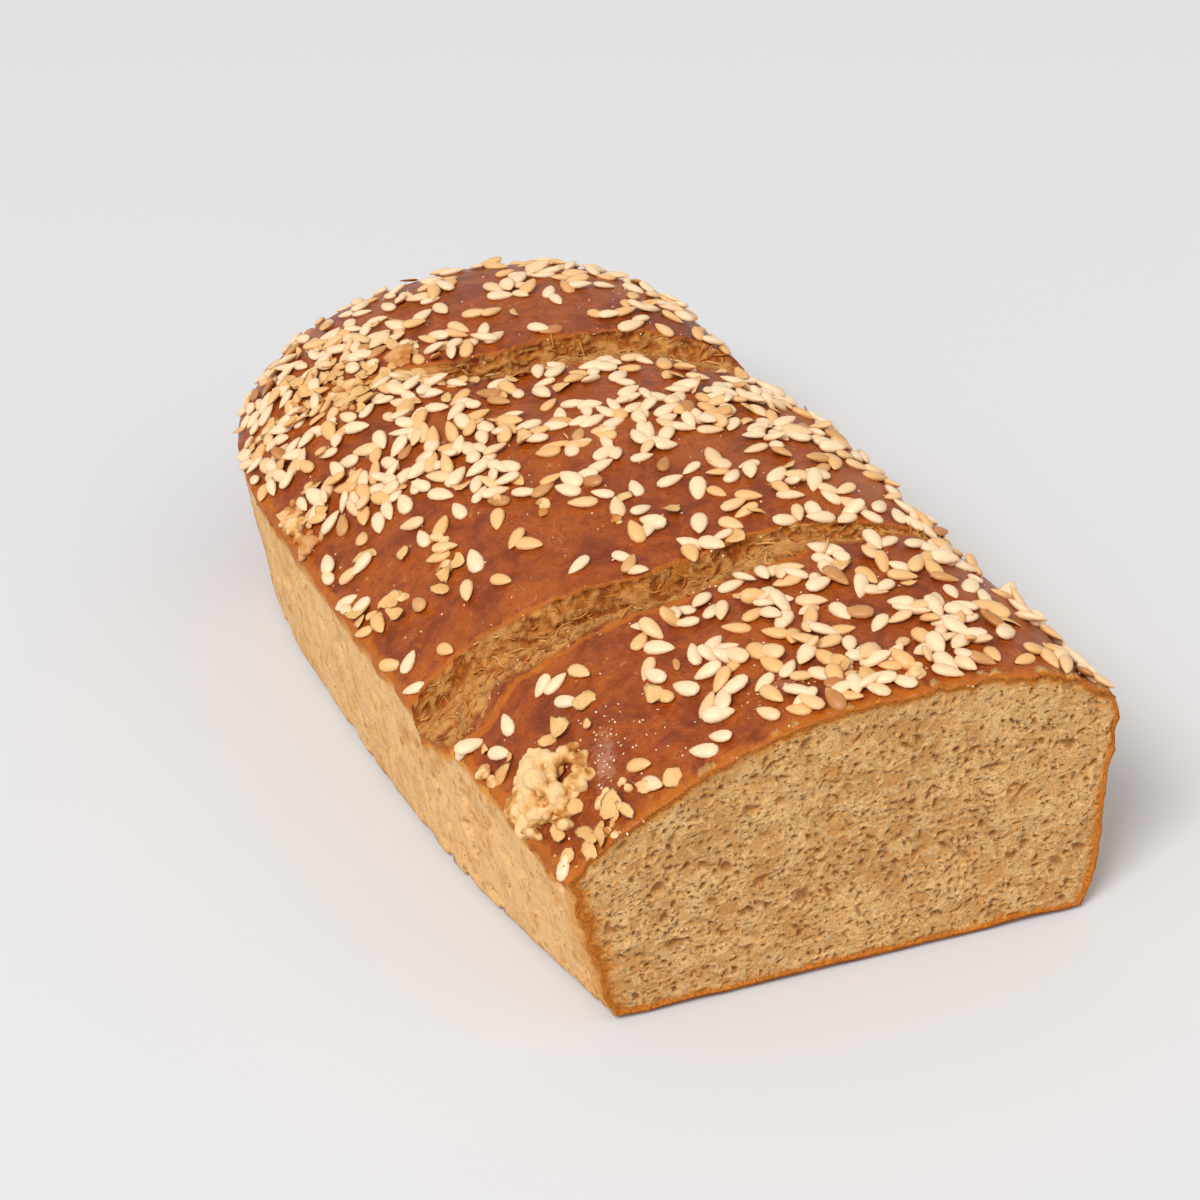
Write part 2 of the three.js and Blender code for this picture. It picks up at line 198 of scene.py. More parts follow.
def noise(points, cell, seed):
    """Smooth noise from -1 to 1: hashed values at the corners of cubes, eased between them."""
    scaled = points / cell
    base = np.floor(scaled)
    t = scaled - base
    t = t * t * t * (t * (t * 6 - 15) + 10)
    corner = base.astype(np.int64)
    total = np.zeros(points.shape[:-1])
    for i in range(8):
        dx, dy, dz = i & 1, i >> 1 & 1, i >> 2
        weight = (
            (t[..., 0] if dx else 1 - t[..., 0])
            * (t[..., 1] if dy else 1 - t[..., 1])
            * (t[..., 2] if dz else 1 - t[..., 2])
        )
        at = corner + (dx, dy, dz)
        total += weight * hashed(at[..., 0], at[..., 1], at[..., 2], seed)
    return 2 * total - 1


def rough(points, cell, octaves, seed, gain=0.5):
    """Noise at cell, half of it, a quarter and so on, each gain times as strong as the last."""
    total = 0
    for i in range(octaves):
        total = total + noise(points, cell / 2 ** i, seed + i) * gain ** i
    return total


def ridged(points, cell, octaves, seed):
    """Sharp crests, 1 where the noise crosses 0 and falling off to either side of it."""
    total = 0
    for i in range(octaves):
        total = total + (1 - 2 * np.abs(noise(points, cell / 2 ** i, seed + i))) * 0.5 ** i
    return total


def pits(flat, cell, chance, slim, seed):
    """Depth from 0 to 1 of oval pits: one in each square cell with that chance, turned at random.

    A pit's depth is 1 - d^2, d being the distance from its middle over its half-length along
    its own axis, and over slim times that across it. The deepest of those near a point counts.
    """
    base = np.floor(flat / cell).astype(np.int64)
    deepest = np.zeros(flat.shape[:-1])
    for i in range(9):
        x = base[..., 0] + i % 3 - 1
        y = base[..., 1] + i // 3 - 1
        one = np.ones_like(x)
        offset_x = flat[..., 0] / cell - x - lerp(0.2, 0.8, hashed(x, y, one, seed))
        offset_y = flat[..., 1] / cell - y - lerp(0.2, 0.8, hashed(x, y, 2 * one, seed))
        turn = math.pi * hashed(x, y, 3 * one, seed)
        half = lerp(0.22, 0.62, hashed(x, y, 4 * one, seed) ** 2)
        thin = half * lerp(slim, 1, hashed(x, y, 5 * one, seed))
        along = (offset_x * np.cos(turn) + offset_y * np.sin(turn)) / half
        across = (offset_y * np.cos(turn) - offset_x * np.sin(turn)) / thin
        depth = np.clip(1 - along ** 2 - across ** 2, 0, 1)
        there = hashed(x, y, 6 * one, seed) < chance
        deepest = np.maximum(deepest, depth * there * lerp(0.5, 1, hashed(x, y, 7 * one, seed)))
    return deepest


def threads(points, cell, seed):
    """Curling threads: a bell of two noises where they cross 0, at points that noise has moved."""
    shift = [rough(points, cell * 0.8, 2, seed + 2 * i) for i in range(3)]
    bent = points + 0.35 * cell * np.stack(shift, -1)
    wide = bell(noise(bent, cell, seed + 7), THREAD_WIDTH)
    close = bell(noise(bent, cell * 0.75, seed + 8), THREAD_WIDTH)
    return np.maximum(wide, close)


# ---- Guide lines across the top, as the y of each at x

def wobble(x, seed, size):
    """A line's wavering: noise along x alone."""
    return size * rough(np.stack([x, 0 * x, 0 * x], -1), 5.0, 3, seed)


def cut_line(x):
    """The slanted cut, a straight line."""
    return CUT_CORNER_Y - CUT_SLOPE * (x - CUT_CORNER_X)


def front_lip(x):
    """The front slash's rear lip: it runs forward in two eased steps from left to right."""
    run = FRONT_SLASH_SKEW * ease(-WIDEST, 2, x) + FRONT_SLASH_BEND * ease(8, WIDEST, x)
    return FRONT_SLASH_Y - run + wobble(x, 3, 0.5)


def front_open(x):
    """The front slash's nearer edge, which stays in front of its lip."""
    line = FRONT_OPEN_Y - FRONT_OPEN_SKEW * ease(-20, 10, x) + wobble(x, 7, 0.7)
    return np.minimum(line, front_lip(x) - LIP_RUN - 0.5)


def rear_lip(x):
    """The rear slash's rear lip: straight and slanting at the left, a parabola at the right."""
    leftward = (np.hypot(x + 3, 3) - (x + 3)) / 2
    rightward = np.maximum(0, x - 2)
    line = REAR_SLASH_Y + REAR_SLASH_SKEW * leftward - REAR_SLASH_BEND * rightward ** 2
    return line + wobble(x, 11, 0.4)


def rear_open(x):
    """The rear slash's nearer edge, a varying width in front of its lip."""
    width = lerp(REAR_NARROW, REAR_WIDE, ease(-12, 3, x)) + REAR_WIDENING * ease(3, 30, x)
    return rear_lip(x) - width + wobble(x, 15, 0.6)


def guide_lines(x):
    """Where each stretch along the top starts."""
    front = front_lip(x)
    rear = rear_lip(x)
    return np.stack(
        [cut_line(x), front_open(x), front - LIP_RUN, front, rear_open(x), rear - LIP_RUN, rear]
    )


def row_y(guide, part, x):
    """A row lies part of the way between two guides, or from the last one to the tip by a sine."""
    lines = guide_lines(x)
    index = np.broadcast_to(guide, x.shape)[None]
    start = np.take_along_axis(lines, index, 0)[0]
    end = np.take_along_axis(lines, np.minimum(index + 1, BACK_PART), 0)[0]
    to_tip = start + (TIP_Y - start) * np.sin(part * math.pi / 2)
    return np.where(index[0] == BACK_PART, to_tip, lerp(start, end, part))


def sink(guide, part, x):
    """How far the crust lies under its smooth arch: in the slashes, or less than 0 in a bulge."""
    front = lerp(*FRONT_DEPTHS, ease(-2, 14, x)) * (1 - ease(24, 33, x))
    rear = lerp(*REAR_DEPTHS, ease(-12, 0, x)) * (1 - 0.5 * ease(28, 34, x))
    hump = 4 * part * (1 - part)
    first, middle, last = (-bulge * hump + 0 * x for bulge in BULGES)
    front_floor, front_wall = front * part ** 1.2, front * (1 - part)
    rear_floor, rear_wall = rear * part, rear * (1 - part)
    depths = [first, front_floor, front_wall, middle, rear_floor, rear_wall, last]
    return np.choose(np.broadcast_to(guide, x.shape), depths)


# ---- The section

def left_lip_x(y):
    """The top's left edge, a parabola along the loaf."""
    return LEFT_LIP_X - LEFT_SWELL * (1 - ((y - 1.9) / 72) ** 2)


def right_shoulder_x(y):
    """The top's right edge, a parabola along the loaf."""
    return RIGHT_SHOULDER_X + RIGHT_SWELL * (1 - ((y - 10.9) / 90) ** 2)


def left_foot_x(y):
    """The left wall's foot, inside the top's left edge."""
    return left_lip_x(y) + lerp(LEFT_FOOT_INSET, LEFT_FOOT_INSET_BACK, ease(-69, -23, y))


def arch(across, y):
    """Height of the smooth top: a power curve on each flank of the crest."""
    crest_at = lerp(0.68, 0.56, ease(-63, 27, y))
    crest = CREST_Z - (1 - ease(-63, -23, y))
    lip = LIP_Z - LIP_DROP * (1 - ease(-69, -33, y))
    left = lip + (crest - lip) * (1 - np.clip(1 - across / crest_at, 0, 1) ** LEFT_ARCH)
    out = np.clip((across - crest_at) / (1 - crest_at), 0, 1)
    right = SHOULDER_Z + (crest - SHOULDER_Z) * (1 - out ** RIGHT_ARCH) ** (1 / RIGHT_ARCH)
    return np.where(across < crest_at, left, right)


def rounding(y):
    """How wide and how high the section still is towards the tip, by two superellipses."""
    q = np.clip((y - ROUND_FROM_Y) / (TIP_Y - ROUND_FROM_Y), 0, 1)
    wide = np.maximum(0, 1 - q ** ROUND_PLAN_POWER) ** (1 / ROUND_PLAN_POWER)
    high = np.maximum(0, 1 - q ** ROUND_SIDE_POWER) ** ROUND_SIDE_ROOT
    return q, wide, high


def draw_in(x, y, wide):
    """Moves x towards the middle of the loaf by the share that the round end leaves."""
    middle = (left_lip_x(y) + right_shoulder_x(y)) / 2
    return middle + (x - middle) * wide


def top_points(across, guide, part):
    """The top: the arch less its slashes and slow waves, leaning out towards the right edge."""
    x = lerp(-WIDEST, WIDEST, across) + 0 * part
    y = row_y(guide, part, x)
    _, wide, high = rounding(y)
    flat = draw_in(lerp(left_lip_x(y), right_shoulder_x(y), across), y, wide)
    waves = np.sin(flat / 9 + 1.3) * np.cos(y / 11) + 0.7 * np.sin(flat / 5.5 - y / 8 + 0.7)
    down = sink(guide, part, x) - UNEVEN * waves * high * np.sin(math.pi * across)
    lean = SHOULDER_LEAN * ease(0.72, 1.08, across)
    z = TIP_Z + (arch(across, y) - TIP_Z) * high - down * np.cos(lean) * np.minimum(1, high * 1.5)
    return np.stack([flat - down * np.sin(lean), y, z], -1)


def foot_z(q):
    """Height of the walls' feet, which rise at the very tip."""
    return BASE_RISE + (TIP_Z - BASE_RISE) * q ** 12


def left_wall(up, guide, part):
    """Straight up, and outwards by up^0.75, from the foot to the top's left edge."""
    lip = top_points(0 * up, guide, part)
    y = lip[..., 1]
    q, wide, _ = rounding(y)
    foot = draw_in(left_foot_x(y), y, wide)
    return np.stack([lerp(foot, lip[..., 0], up ** 0.75), y, lerp(foot_z(q), lip[..., 2], up)], -1)


def right_wall(up, guide, part):
    """From a rounded foot, tapering outwards, to the top's right edge."""
    shoulder = top_points(0 * up + 1, guide, part)
    y = shoulder[..., 1]
    q, wide, _ = rounding(y)
    z = lerp(foot_z(q), shoulder[..., 2], up)
    foot = FOOT_ROUND * (1 - np.clip((z - foot_z(q)) / FOOT_ROUND_HEIGHT, 0, 1)) ** 2
    inset = (RIGHT_FOOT_INSET - FOOT_ROUND) * (1 - up) ** 0.9 + foot
    plain = draw_in(right_shoulder_x(y), y, wide)
    return np.stack([lerp(plain, shoulder[..., 0], up ** 3) - inset * wide, y, z], -1)


def base_points(across, guide, part):
    """Straight between the feet, flat in the middle and curling up to the feet and both ends."""
    left = left_wall(0 * across, guide, part)
    right = right_wall(0 * across, guide, part)
    y = lerp(left[..., 1], right[..., 1], across)
    q, _, _ = rounding(y)
    at_ends = np.where(guide == FRONT_PART, np.clip(1 - part * 7 / 3, 0, 1), 0.0)
    at_ends = np.where(guide == BACK_PART, np.clip(part / 0.5, 0, 1), at_ends)
    at_sides = np.clip(np.abs(2 * across - 1) * 2.5 - 1.5, 0, 1)
    curl = np.maximum(at_ends, at_sides) ** 1.3
    z = BASE_RISE * curl + (TIP_Z - BASE_RISE * curl) * q ** 12
    return np.stack([lerp(left[..., 0], right[..., 0], across), y, z], -1)


def row_table():
    """For each row, the stretch it lies in and the part of the way along that."""
    guide = np.repeat(np.arange(len(ROWS)), ROWS)
    part = np.concatenate([np.arange(count) / count for count in ROWS])
    return guide[:, None], part[:, None]


def skin():
    """The plain skin's points: rows along the loaf, and columns from the left foot round."""
    guide, part = row_table()
    up_left = np.arange(LEFT_COLUMNS)[None] / LEFT_COLUMNS
    step = np.arange(TOP_COLUMNS)[None] / TOP_COLUMNS
    across = lerp(step, np.sin(step * math.pi / 2), 0.5)
    up_right = 1 - (np.arange(RIGHT_COLUMNS)[None] / RIGHT_COLUMNS) ** 0.9
    back = 1 - np.arange(BASE_COLUMNS)[None] / BASE_COLUMNS
    stretches = [
        left_wall(up_left + 0 * part, guide, part),
        top_points(across + 0 * part, guide, part),
        right_wall(up_right + 0 * part, guide, part),
        base_points(back + 0 * part, guide, part),
    ]
    return np.concatenate(stretches, 1)


def normals_of(points):
    """Outward normals of the skin, from the neighbours of each point round and along it."""
    around = np.roll(points, -1, 1) - np.roll(points, 1, 1)
    along = np.gradient(points, axis=0)
    normal = np.cross(around, along)
    return normal / np.maximum(np.linalg.norm(normal, axis=-1, keepdims=True), 1e-9)


def zones(points):
    """Shares from 0 to 1 of each finish over the skin, by column, by row and by ragged edges."""
    guide, part = row_table()
    rows, columns = points.shape[:2]
    x, y, z = points[..., 0], points[..., 1], points[..., 2]
    first_top = LEFT_COLUMNS
    last_top = LEFT_COLUMNS + TOP_COLUMNS
    last_right = last_top + RIGHT_COLUMNS
    column = np.broadcast_to(np.arange(columns)[None], (rows, columns))
    on_left = column < first_top
    on_top = (column >= first_top) & (column < last_top)
    on_right = (column >= last_top) & (column < last_right)
    on_base = column >= last_right
    ragged = rough(points * [1, 1, 0.5], 5.0, 4, 31)
    lip_z = points[:, first_top, 2][:, None]
    shoulder_z = points[:, last_top, 2][:, None]
    round_end = ease(43, 49, y + 4 * ragged + 0.25 * (z - 12))
    left = on_left * ease(0.2, 1.8, lip_z - z - 0.4 - 1.1 * ragged) * (1 - round_end)
    right = on_right * ease(0.0, 3.0, shoulder_z - z - 4.0 - 3.0 * ragged) * (1 - round_end)
    low_down = 1 - ease(1.0, 5.0, z - 1.2 * ragged)
    foot = low_down * (on_right + on_left * lerp(0.5, 1, ease(30, 50, y)))
    across_x = np.clip(x, -WIDEST, WIDEST)
    opening = ease(0.02, 0.25, part + 0.12 * ragged)
    in_front = np.where(guide == FRONT_FLOOR, opening, 0.0) + (guide == FRONT_WALL)
    in_rear = np.where(guide == REAR_FLOOR, opening, 0.0) + (guide == REAR_WALL)
    in_rear = in_rear * ease(-16, -6, across_x + 2 * ragged)
    torn = (in_front + in_rear) * on_top
    lines = [line(across_x) for line in (front_lip, rear_lip, front_open, rear_open)]
    lip = sum(bell(y - line, LIP_WIDTH) for line in lines) * on_top
    by_wall = on_left * (1 - left) + on_top * bell(x - left_lip_x(y), 1.3)
    lip = np.maximum(lip, by_wall * (1 - round_end))
    from_cut = np.maximum(0, (y - cut_line(x)) * SQUARE_TO_CUT)
    rim = np.exp(-from_cut / RIM_REACH) * (on_top + 0.9 * (on_left + on_right))
    wall = ((guide == FRONT_WALL) + (guide == REAR_WALL)) * (1 - part)
    by_wall_foot = (guide == FRONT_FLOOR) | (guide == REAR_FLOOR)
    wall = wall + np.where(by_wall_foot, part ** 3, 0)
    corner = bell(x + 21.5 - 0.35 * (y + 56), 2.6) * bell(y + 57, 6.5)
    patch = bell(x + 1.3, 3.2) * bell(y + 64, 1.8)
    return {
        "left": left, "right": right, "under": on_base * 1.0, "foot": foot,
        "torn": torn, "deep": torn * wall, "lip": np.clip(lip, 0, 1), "rim": rim,
        "dust": (corner + patch) * on_top,
    }


@functools.cache
def crust_surface():
    """The skin with its relief, pushed out along its normals by noise of each zone's own kind."""
    points = skin()
    normal = normals_of(points)
    zone = zones(points)
    guide, part = row_table()
    calm = 1 - ease(0.9, 1.0, part * (guide == BACK_PART))
    crust = 0.24 * rough(points, 9.0, 2, 41) + 0.07 * ridged(points, 4.0, 2, 47)
    crust = crust + 0.03 * rough(points, 1.6, 2, 53)
    frayed = rough(points, 1.8, 3, 57, 0.7) * np.maximum(zone["rim"], zone["lip"])
    crust = crust + 0.42 * frayed
    streaks = 0.16 * rough(points * [1, 1, 0.5], 4.5, 3, 61, 0.5) + 0.5 * frayed
    streaks = streaks - 0.6 * ease(0.34, 0.62, noise(points * [1, 1, 0.6], 1.7, 67))
    lumps = 0.5 * rough(points * [1, 1, 0.7], 5.0, 4, 71, 0.55)
    web = threads(points * [0.8, 1, 0.9], 1.9, 81)
    zone["thread"] = web * zone["torn"]
    fibres = 0.5 * rough(points, 3.2, 2, 83, 0.6) + 0.6 * web - 0.45
    under = 0.16 * ridged(points, 7.0, 3, 91) * ease(0.02, 0.6, points[..., 2])
    plain = 1 - np.clip(zone["left"] + zone["right"] + zone["under"] + zone["torn"], 0, 1)
    push = crust * plain + streaks * zone["left"] + lumps * zone["right"]
    push = push + fibres * zone["torn"] + under * zone["under"]
    points = points + normal * (push * calm)[..., None]
    low, high = (np.array(corner) / MM for corner in CAD_BOX)
    points = np.clip(points, low, high)
    return points, zone


@functools.cache
def top_surface():
    """The crust's points and normals, and the area that each stands for where topping lies."""
    points, _ = crust_surface()
    around = np.linalg.norm(np.roll(points, -1, 1) - points, axis=-1)
    along = np.linalg.norm(np.gradient(points, axis=0), axis=-1)
    column = np.arange(points.shape[1])[None]
    on_top = (column > LEFT_COLUMNS + 1) & (column < LEFT_COLUMNS + TOP_COLUMNS + 6)
    return points, normals_of(points), around * along * on_top


def cut_edge():
    """The crust's edge at the cut, its middle, and the way in to that from each point."""
    front = crust_surface()[0][0]
    middle = front.mean(0)
    return front, middle, unit(middle - front)


# ---- Putting meshes together

def grid_faces(rows, columns, first=0, closed=False):
    """The quads of a grid of points, which are numbered row by row from first."""
    across = np.arange(columns if closed else columns - 1)
    row = np.arange(rows - 1)[:, None] * columns
    right = (across + 1) % columns
    quads = np.stack([row + across, row + right, row + columns + right, row + columns + across], -1)
    return quads.reshape(-1, 4) + first


def fan_faces(loop, middle):
    """Triangles from a closed loop of points to one in the middle."""
    return np.stack([loop, np.roll(loop, -1), np.full_like(loop, middle)], -1)


def pole_faces(rings, around):
    """The faces of rings of points between two poles, which come last."""
    count = rings * around
    first = np.arange(around)
    return [
        grid_faces(rings, around, 0, True),
        fan_faces(first[::-1], count),
        fan_faces(first + count - around, count + 1),
    ]


def add_mesh(name, points, faces, material, values=None):
    """A smooth-shaded object from points in millimetres, lists of faces and named numbers."""
    mesh = bpy.data.meshes.new(name)
    lists = [face for group in faces for face in group.tolist()]
    mesh.from_pydata((points * MM).tolist(), [], lists)
    for key, numbers in (values or {}).items():
        flat = np.asarray(numbers, np.float32).ravel()
        mesh.attributes.new(key, "FLOAT", "POINT").data.foreach_set("value", flat)
    mesh.materials.append(material)
    mesh.shade_smooth()
    mesh.update()
    piece = bpy.data.objects.new(name, mesh)
    bpy.context.scene.collection.objects.link(piece)
    return piece


def join_in(piece):
    """The piece stands for the loaf's node and rides on root; the node's own part is hidden."""
    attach(piece, "root")
    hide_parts(NODE)


# ---- Materials

class Wire:
    """One value in a node tree. Sums and products of it add their Math nodes."""

    def __init__(self, tree, socket):
        self.tree = tree
        self.socket = socket

    def math(self, operation, *values):
        return add_node(self.tree, "ShaderNodeMath", {"operation": operation}, values)

    def __add__(self, other):
        return self.math("ADD", self, other)

    __radd__ = __add__

    def __sub__(self, other):
        return self.math("SUBTRACT", self, other)

    def __rsub__(self, other):
        return self.math("SUBTRACT", other, self)

    def __mul__(self, other):
        return self.math("MULTIPLY", self, other)

    __rmul__ = __mul__

    def __abs__(self):
        return self.math("ABSOLUTE", self)

    def clamp(self):
        return add_node(self.tree, "ShaderNodeClamp", {}, (self, 0.0, 1.0))


def feed(tree, socket, value):
    """A value goes into a socket as a link, or as a constant."""
    if isinstance(value, Wire):
        tree.links.new(value.socket, socket)
    elif socket.type == "RGBA" and value is not None:
        socket.default_value = (*value, 1.0)
    elif value is not None:
        socket.default_value = value


def add_node(tree, kind, settings, values, output=0):
    """A node of that kind with its settings made first, then its sockets fed, by place or name."""
    node = tree.nodes.new(kind)
    for key, setting in settings.items():
        setattr(node, key, setting)
    pairs = values.items() if isinstance(values, dict) else enumerate(values)
    for key, value in pairs:
        feed(tree, node.inputs[key], value)
    return Wire(tree, node.outputs[output])


class Finish:
    """A material being put together from nodes, round one Principled shader."""

    def __init__(self, name):
        self.material = bpy.data.materials.new(name)
        self.material.use_nodes = True
        self.tree = self.material.node_tree
        self.shader = self.tree.nodes["Principled BSDF"]
        self.place = add_node(self.tree, "ShaderNodeTexCoord", {}, (), "Object")

    def value(self, key):
        """The mesh's own number of that name at each point."""
        return add_node(self.tree, "ShaderNodeAttribute", {"attribute_name": key}, (), "Fac")

    def stretched(self, scale):
        """Object coordinates in millimetres, stretched by a factor along each axis."""
        scale = tuple(factor / MM for factor in scale)
        settings = {"operation": "MULTIPLY"}
        return add_node(self.tree, "ShaderNodeVectorMath", settings, (self.place, scale))

    def noise(self, cell, detail=3.0, roughness=0.55, stretch=(1, 1, 1), distortion=0.0):
        """Noise from 0 to 1 whose features are about cell millimetres across."""
        where = self.stretched(stretch)
        values = {
            "Vector": where, "Scale": 1 / cell, "Detail": detail, "Roughness": roughness,
            "Distortion": distortion,
        }
        return add_node(self.tree, "ShaderNodeTexNoise", {}, values, "Fac")

    def cells(self, cell, stretch=(1, 1, 1)):
        """Distance to the nearest of scattered points, about cell millimetres apart."""
        values = {"Vector": self.stretched(stretch), "Scale": 1 / cell}
        return add_node(self.tree, "ShaderNodeTexVoronoi", {}, values, "Distance")

    def between(self, value, start, end):
        """0 at start and 1 at end of a value's range, eased."""
        settings = {"interpolation_type": "SMOOTHSTEP"}
        values = {"Value": value, "From Min": start, "From Max": end}
        return add_node(self.tree, "ShaderNodeMapRange", settings, values)

    def mix(self, share, start, end):
        """Two colours mixed by a share."""
        values = {0: share, 6: start, 7: end}
        return add_node(self.tree, "ShaderNodeMix", {"data_type": "RGBA"}, values, 2)

    def layers(self, colour, *layers):
        """A colour with others laid over it in turn, each by its own share."""
        for share, over in layers:
            colour = self.mix(share, colour, over)
        return colour

    def bump(self, height, distance, strength=1.0, onto=None):
        """Relief of a height from 0 to 1, that many millimetres deep."""
        values = {"Strength": strength, "Distance": distance * MM, "Height": height, "Normal": onto}
        return add_node(self.tree, "ShaderNodeBump", {}, values)

    def finish(self, **sockets):
        """The material, with the shader's sockets fed: Base_Color for Base Color, and so on."""
        for key, value in sockets.items():
            feed(self.tree, self.shader.inputs[key.replace("_", " ")], value)
        return self.material


def crust_finish(looks):
    """Satin brown crust in patches, amber at its edges, pale where the loaf was pulled apart."""
    make = Finish("baked_crust")
    broad = make.noise(16.0, 2.0, 0.5)
    patch = make.noise(5.0, 4.0, 0.55, distortion=0.8)
    fine = make.noise(1.4, 3.0, 0.55, distortion=0.8)
    grain = make.noise(0.4, 3.0, 0.6)
    crease = abs(make.noise(1.7, 4.0, 0.62, distortion=1.4) - 0.5) * 2

    # The baked top, with specks and dust of flour and amber edges
    speck = make.between(make.cells(1.3), 0.09, 0.04) * make.between(broad, 0.42, 0.55)
    scratch = abs(make.noise(2.4, 2.0, 0.5, stretch=(1.3, 0.4, 1.0), distortion=0.5) - 0.5)
    scratch = make.between(scratch, 0.012, 0.0) * make.between(patch, 0.54, 0.6)
    dust = make.between(make.value("dust") * 0.5 + fine * 0.5 + grain * 0.5, 0.8, 1.05)
    lip = make.value("lip") * 0.9 + (patch - 0.5) * 0.9 + (fine - 0.5) * 0.6
    lip = make.between(lip, 0.35, 0.8)
    rim = make.value("rim") + (patch - 0.5) * 0.6 + (fine - 0.5) * 0.5
    near = make.between(rim, 0.3, 0.66)
    baked = make.layers(
        looks.crust_dark,
        (make.between(patch, 0.32, 0.6), looks.crust),
        (make.between(broad, 0.42, 0.7) * 0.6, looks.crust_light),
        (make.between(fine, 0.5, 0.72) * 0.45, looks.crust_light),
        (make.between(fine, 0.46, 0.34) * 0.5, looks.crust_dark),
        # Painted shade: the crust is darkened along the creases that its bump sinks
        (make.between(crease, 0.08, 0.0) * 0.25, looks.crust_dark),
        (scratch * 0.3, looks.topping),
        ((speck * 0.4 + dust * 0.14).clamp(), looks.flour),
        ((lip * 0.8 + near * 0.8).clamp(), looks.gold),
        (make.between(rim, 0.85, 1.25) * 0.7, looks.amber),
    )

    # The floors of the slashes, darker with painted shade where their relief is low
    tear = make.noise(1.2, 5.0, 0.65, stretch=(1.0, 0.7, 0.8), distortion=0.9)
    torn = make.value("torn")
    torn_floor = make.layers(
        # Darker torn crust, partly its own colour and partly painted shade, where the tear noise
        # and the bump are low
        looks.tear_dark_and_shade,
        (make.between(tear, 0.4, 0.66), looks.tear_light),
        (make.value("deep") * 0.5, looks.gold),
        (make.value("thread") * 0.75, looks.strand),
    )

    # The left wall, pulled apart, the right wall, which baked less, and the base
    streak = make.noise(2.0, 5.0, 0.6, stretch=(1.0, 1.0, 0.45), distortion=0.6)
    stain = make.noise(7.0, 5.0, 0.65, stretch=(1.0, 1.0, 0.6), distortion=0.5)
    pit = make.between(make.noise(0.8, 3.0, 0.6, stretch=(1.0, 1.0, 0.6)), 0.6, 0.7)
    freckle = make.between(make.cells(3.4, stretch=(1.0, 1.0, 0.7)), 0.2, 0.1)
    pulled = make.layers(
        looks.wall_dark,
        (make.between(streak, 0.3, 0.55), looks.wall_light),
        (make.between(stain, 0.52, 0.72) * 0.7, looks.stain),
        ((pit * 0.65 + freckle * 0.8).clamp(), looks.stain),
        (near * 0.9, looks.gold),
        (make.between(rim, 0.05, 0.3) * (1 - near) * 0.7, looks.amber),
    )
    half_baked = make.layers(
        looks.stain,
        (make.between(streak, 0.35, 0.7), looks.wall_dark),
        (make.between(stain, 0.5, 0.66) * 0.8, looks.gold),
    )
    under = make.mix(make.between(patch, 0.38, 0.66), looks.crust, looks.gold)

    # All of them over the baked top, each in its own zone
    left, right = make.value("left"), make.value("right")
    borders = (left * (1 - left) * 3.6 + right * (1 - right) * 1.8).clamp()
    foot = make.between(make.value("foot") + (stain - 0.5) * 1.2, 0.45, 0.95)
    colour = make.layers(
        baked,
        (torn, torn_floor),
        (left, pulled),
        (right, half_baked),
        (borders, looks.amber),
        (foot * 0.6, looks.gold),
        (make.value("under"), under),
    )
    soft = (torn + left + right * 0.8).clamp()
    roughness = soft * 0.4 + lip * 0.2 + dust * 0.5 + 0.33 + (fine - 0.5) * 0.3
    relief = fine * 0.6 + grain * 0.08 + make.between(crease, 0.0, 0.3) * 0.2
    relief = make.bump(relief, 0.45, 0.8)
    relief = make.bump(tear * torn, 0.3, 0.7, relief)
    relief = make.bump((streak * 0.5 - pit * 0.6 - freckle * 0.5) * left, 0.3, 0.8, relief)
    return make.finish(
        Base_Color=colour, Roughness=roughness.clamp(), Normal=relief, Specular_IOR_Level=0.32
    )


def crumb_finish(looks):
    """Matt tan crumb: threads lit and pores shaded by painted colour, amber to brown at the crust.
    """
    make = Finish("open_crumb")
    broad = make.noise(7.0, 3.0, 0.55)
    fine = make.noise(0.8, 4.0, 0.6)
    web = make.between(abs(make.noise(1.4, 2.0, 0.5, distortion=2.4) - 0.5), 0.05, 0.0)
    pin = make.between(make.cells(0.8), 0.24, 0.12) * make.between(broad, 0.3, 0.55)
    # Painted highlight: the crumb's raised threads and web are coloured paler, as if lit
    light = make.value("thread") * 0.55 + web * 0.7
    # Painted shade: the sunk pores and the pin pores are darkened with the pore colour
    pore = make.value("pore") + pin * 0.75
    uneven = (fine - 0.5) * 0.8 + (broad - 0.5) * 0.9
    edge = make.value("edge") + uneven
    brown = make.value("brown") + uneven
    colour = make.layers(
        looks.crumb_dark,
        (make.between(broad, 0.35, 0.68), looks.crumb),
        (light.clamp(), looks.crumb_highlight),
        (pore.clamp() * 0.7, looks.pore),
        (make.between(edge, 0.25, 0.9) * 0.7, looks.amber),
        (make.between(brown, 0.34, 0.76) * 0.8, looks.gold),
        (make.between(brown, 0.95, 1.25) * 0.8, looks.crust),
    )
    relief = make.bump(web * 0.6 + fine * 0.15 - pin * 0.8, 0.3, 0.8)
    return make.finish(Base_Color=colour, Roughness=0.85, Normal=relief, Specular_IOR_Level=0.2)


def fibre_finish(looks):
    """Torn crumb, from pale strands to browned ones."""
    make = Finish("torn_crumb")
    fine = make.noise(0.8, 3.0, 0.6)
    shade = make.value("tone") * 0.8 + fine * 0.4
    colour = make.mix(make.between(shade, 0.2, 0.75), looks.strand, looks.tear_light)
    relief = make.bump(fine, 0.1, 0.6)
    return make.finish(Base_Color=colour, Roughness=0.75, Normal=relief, Specular_IOR_Level=0.3)


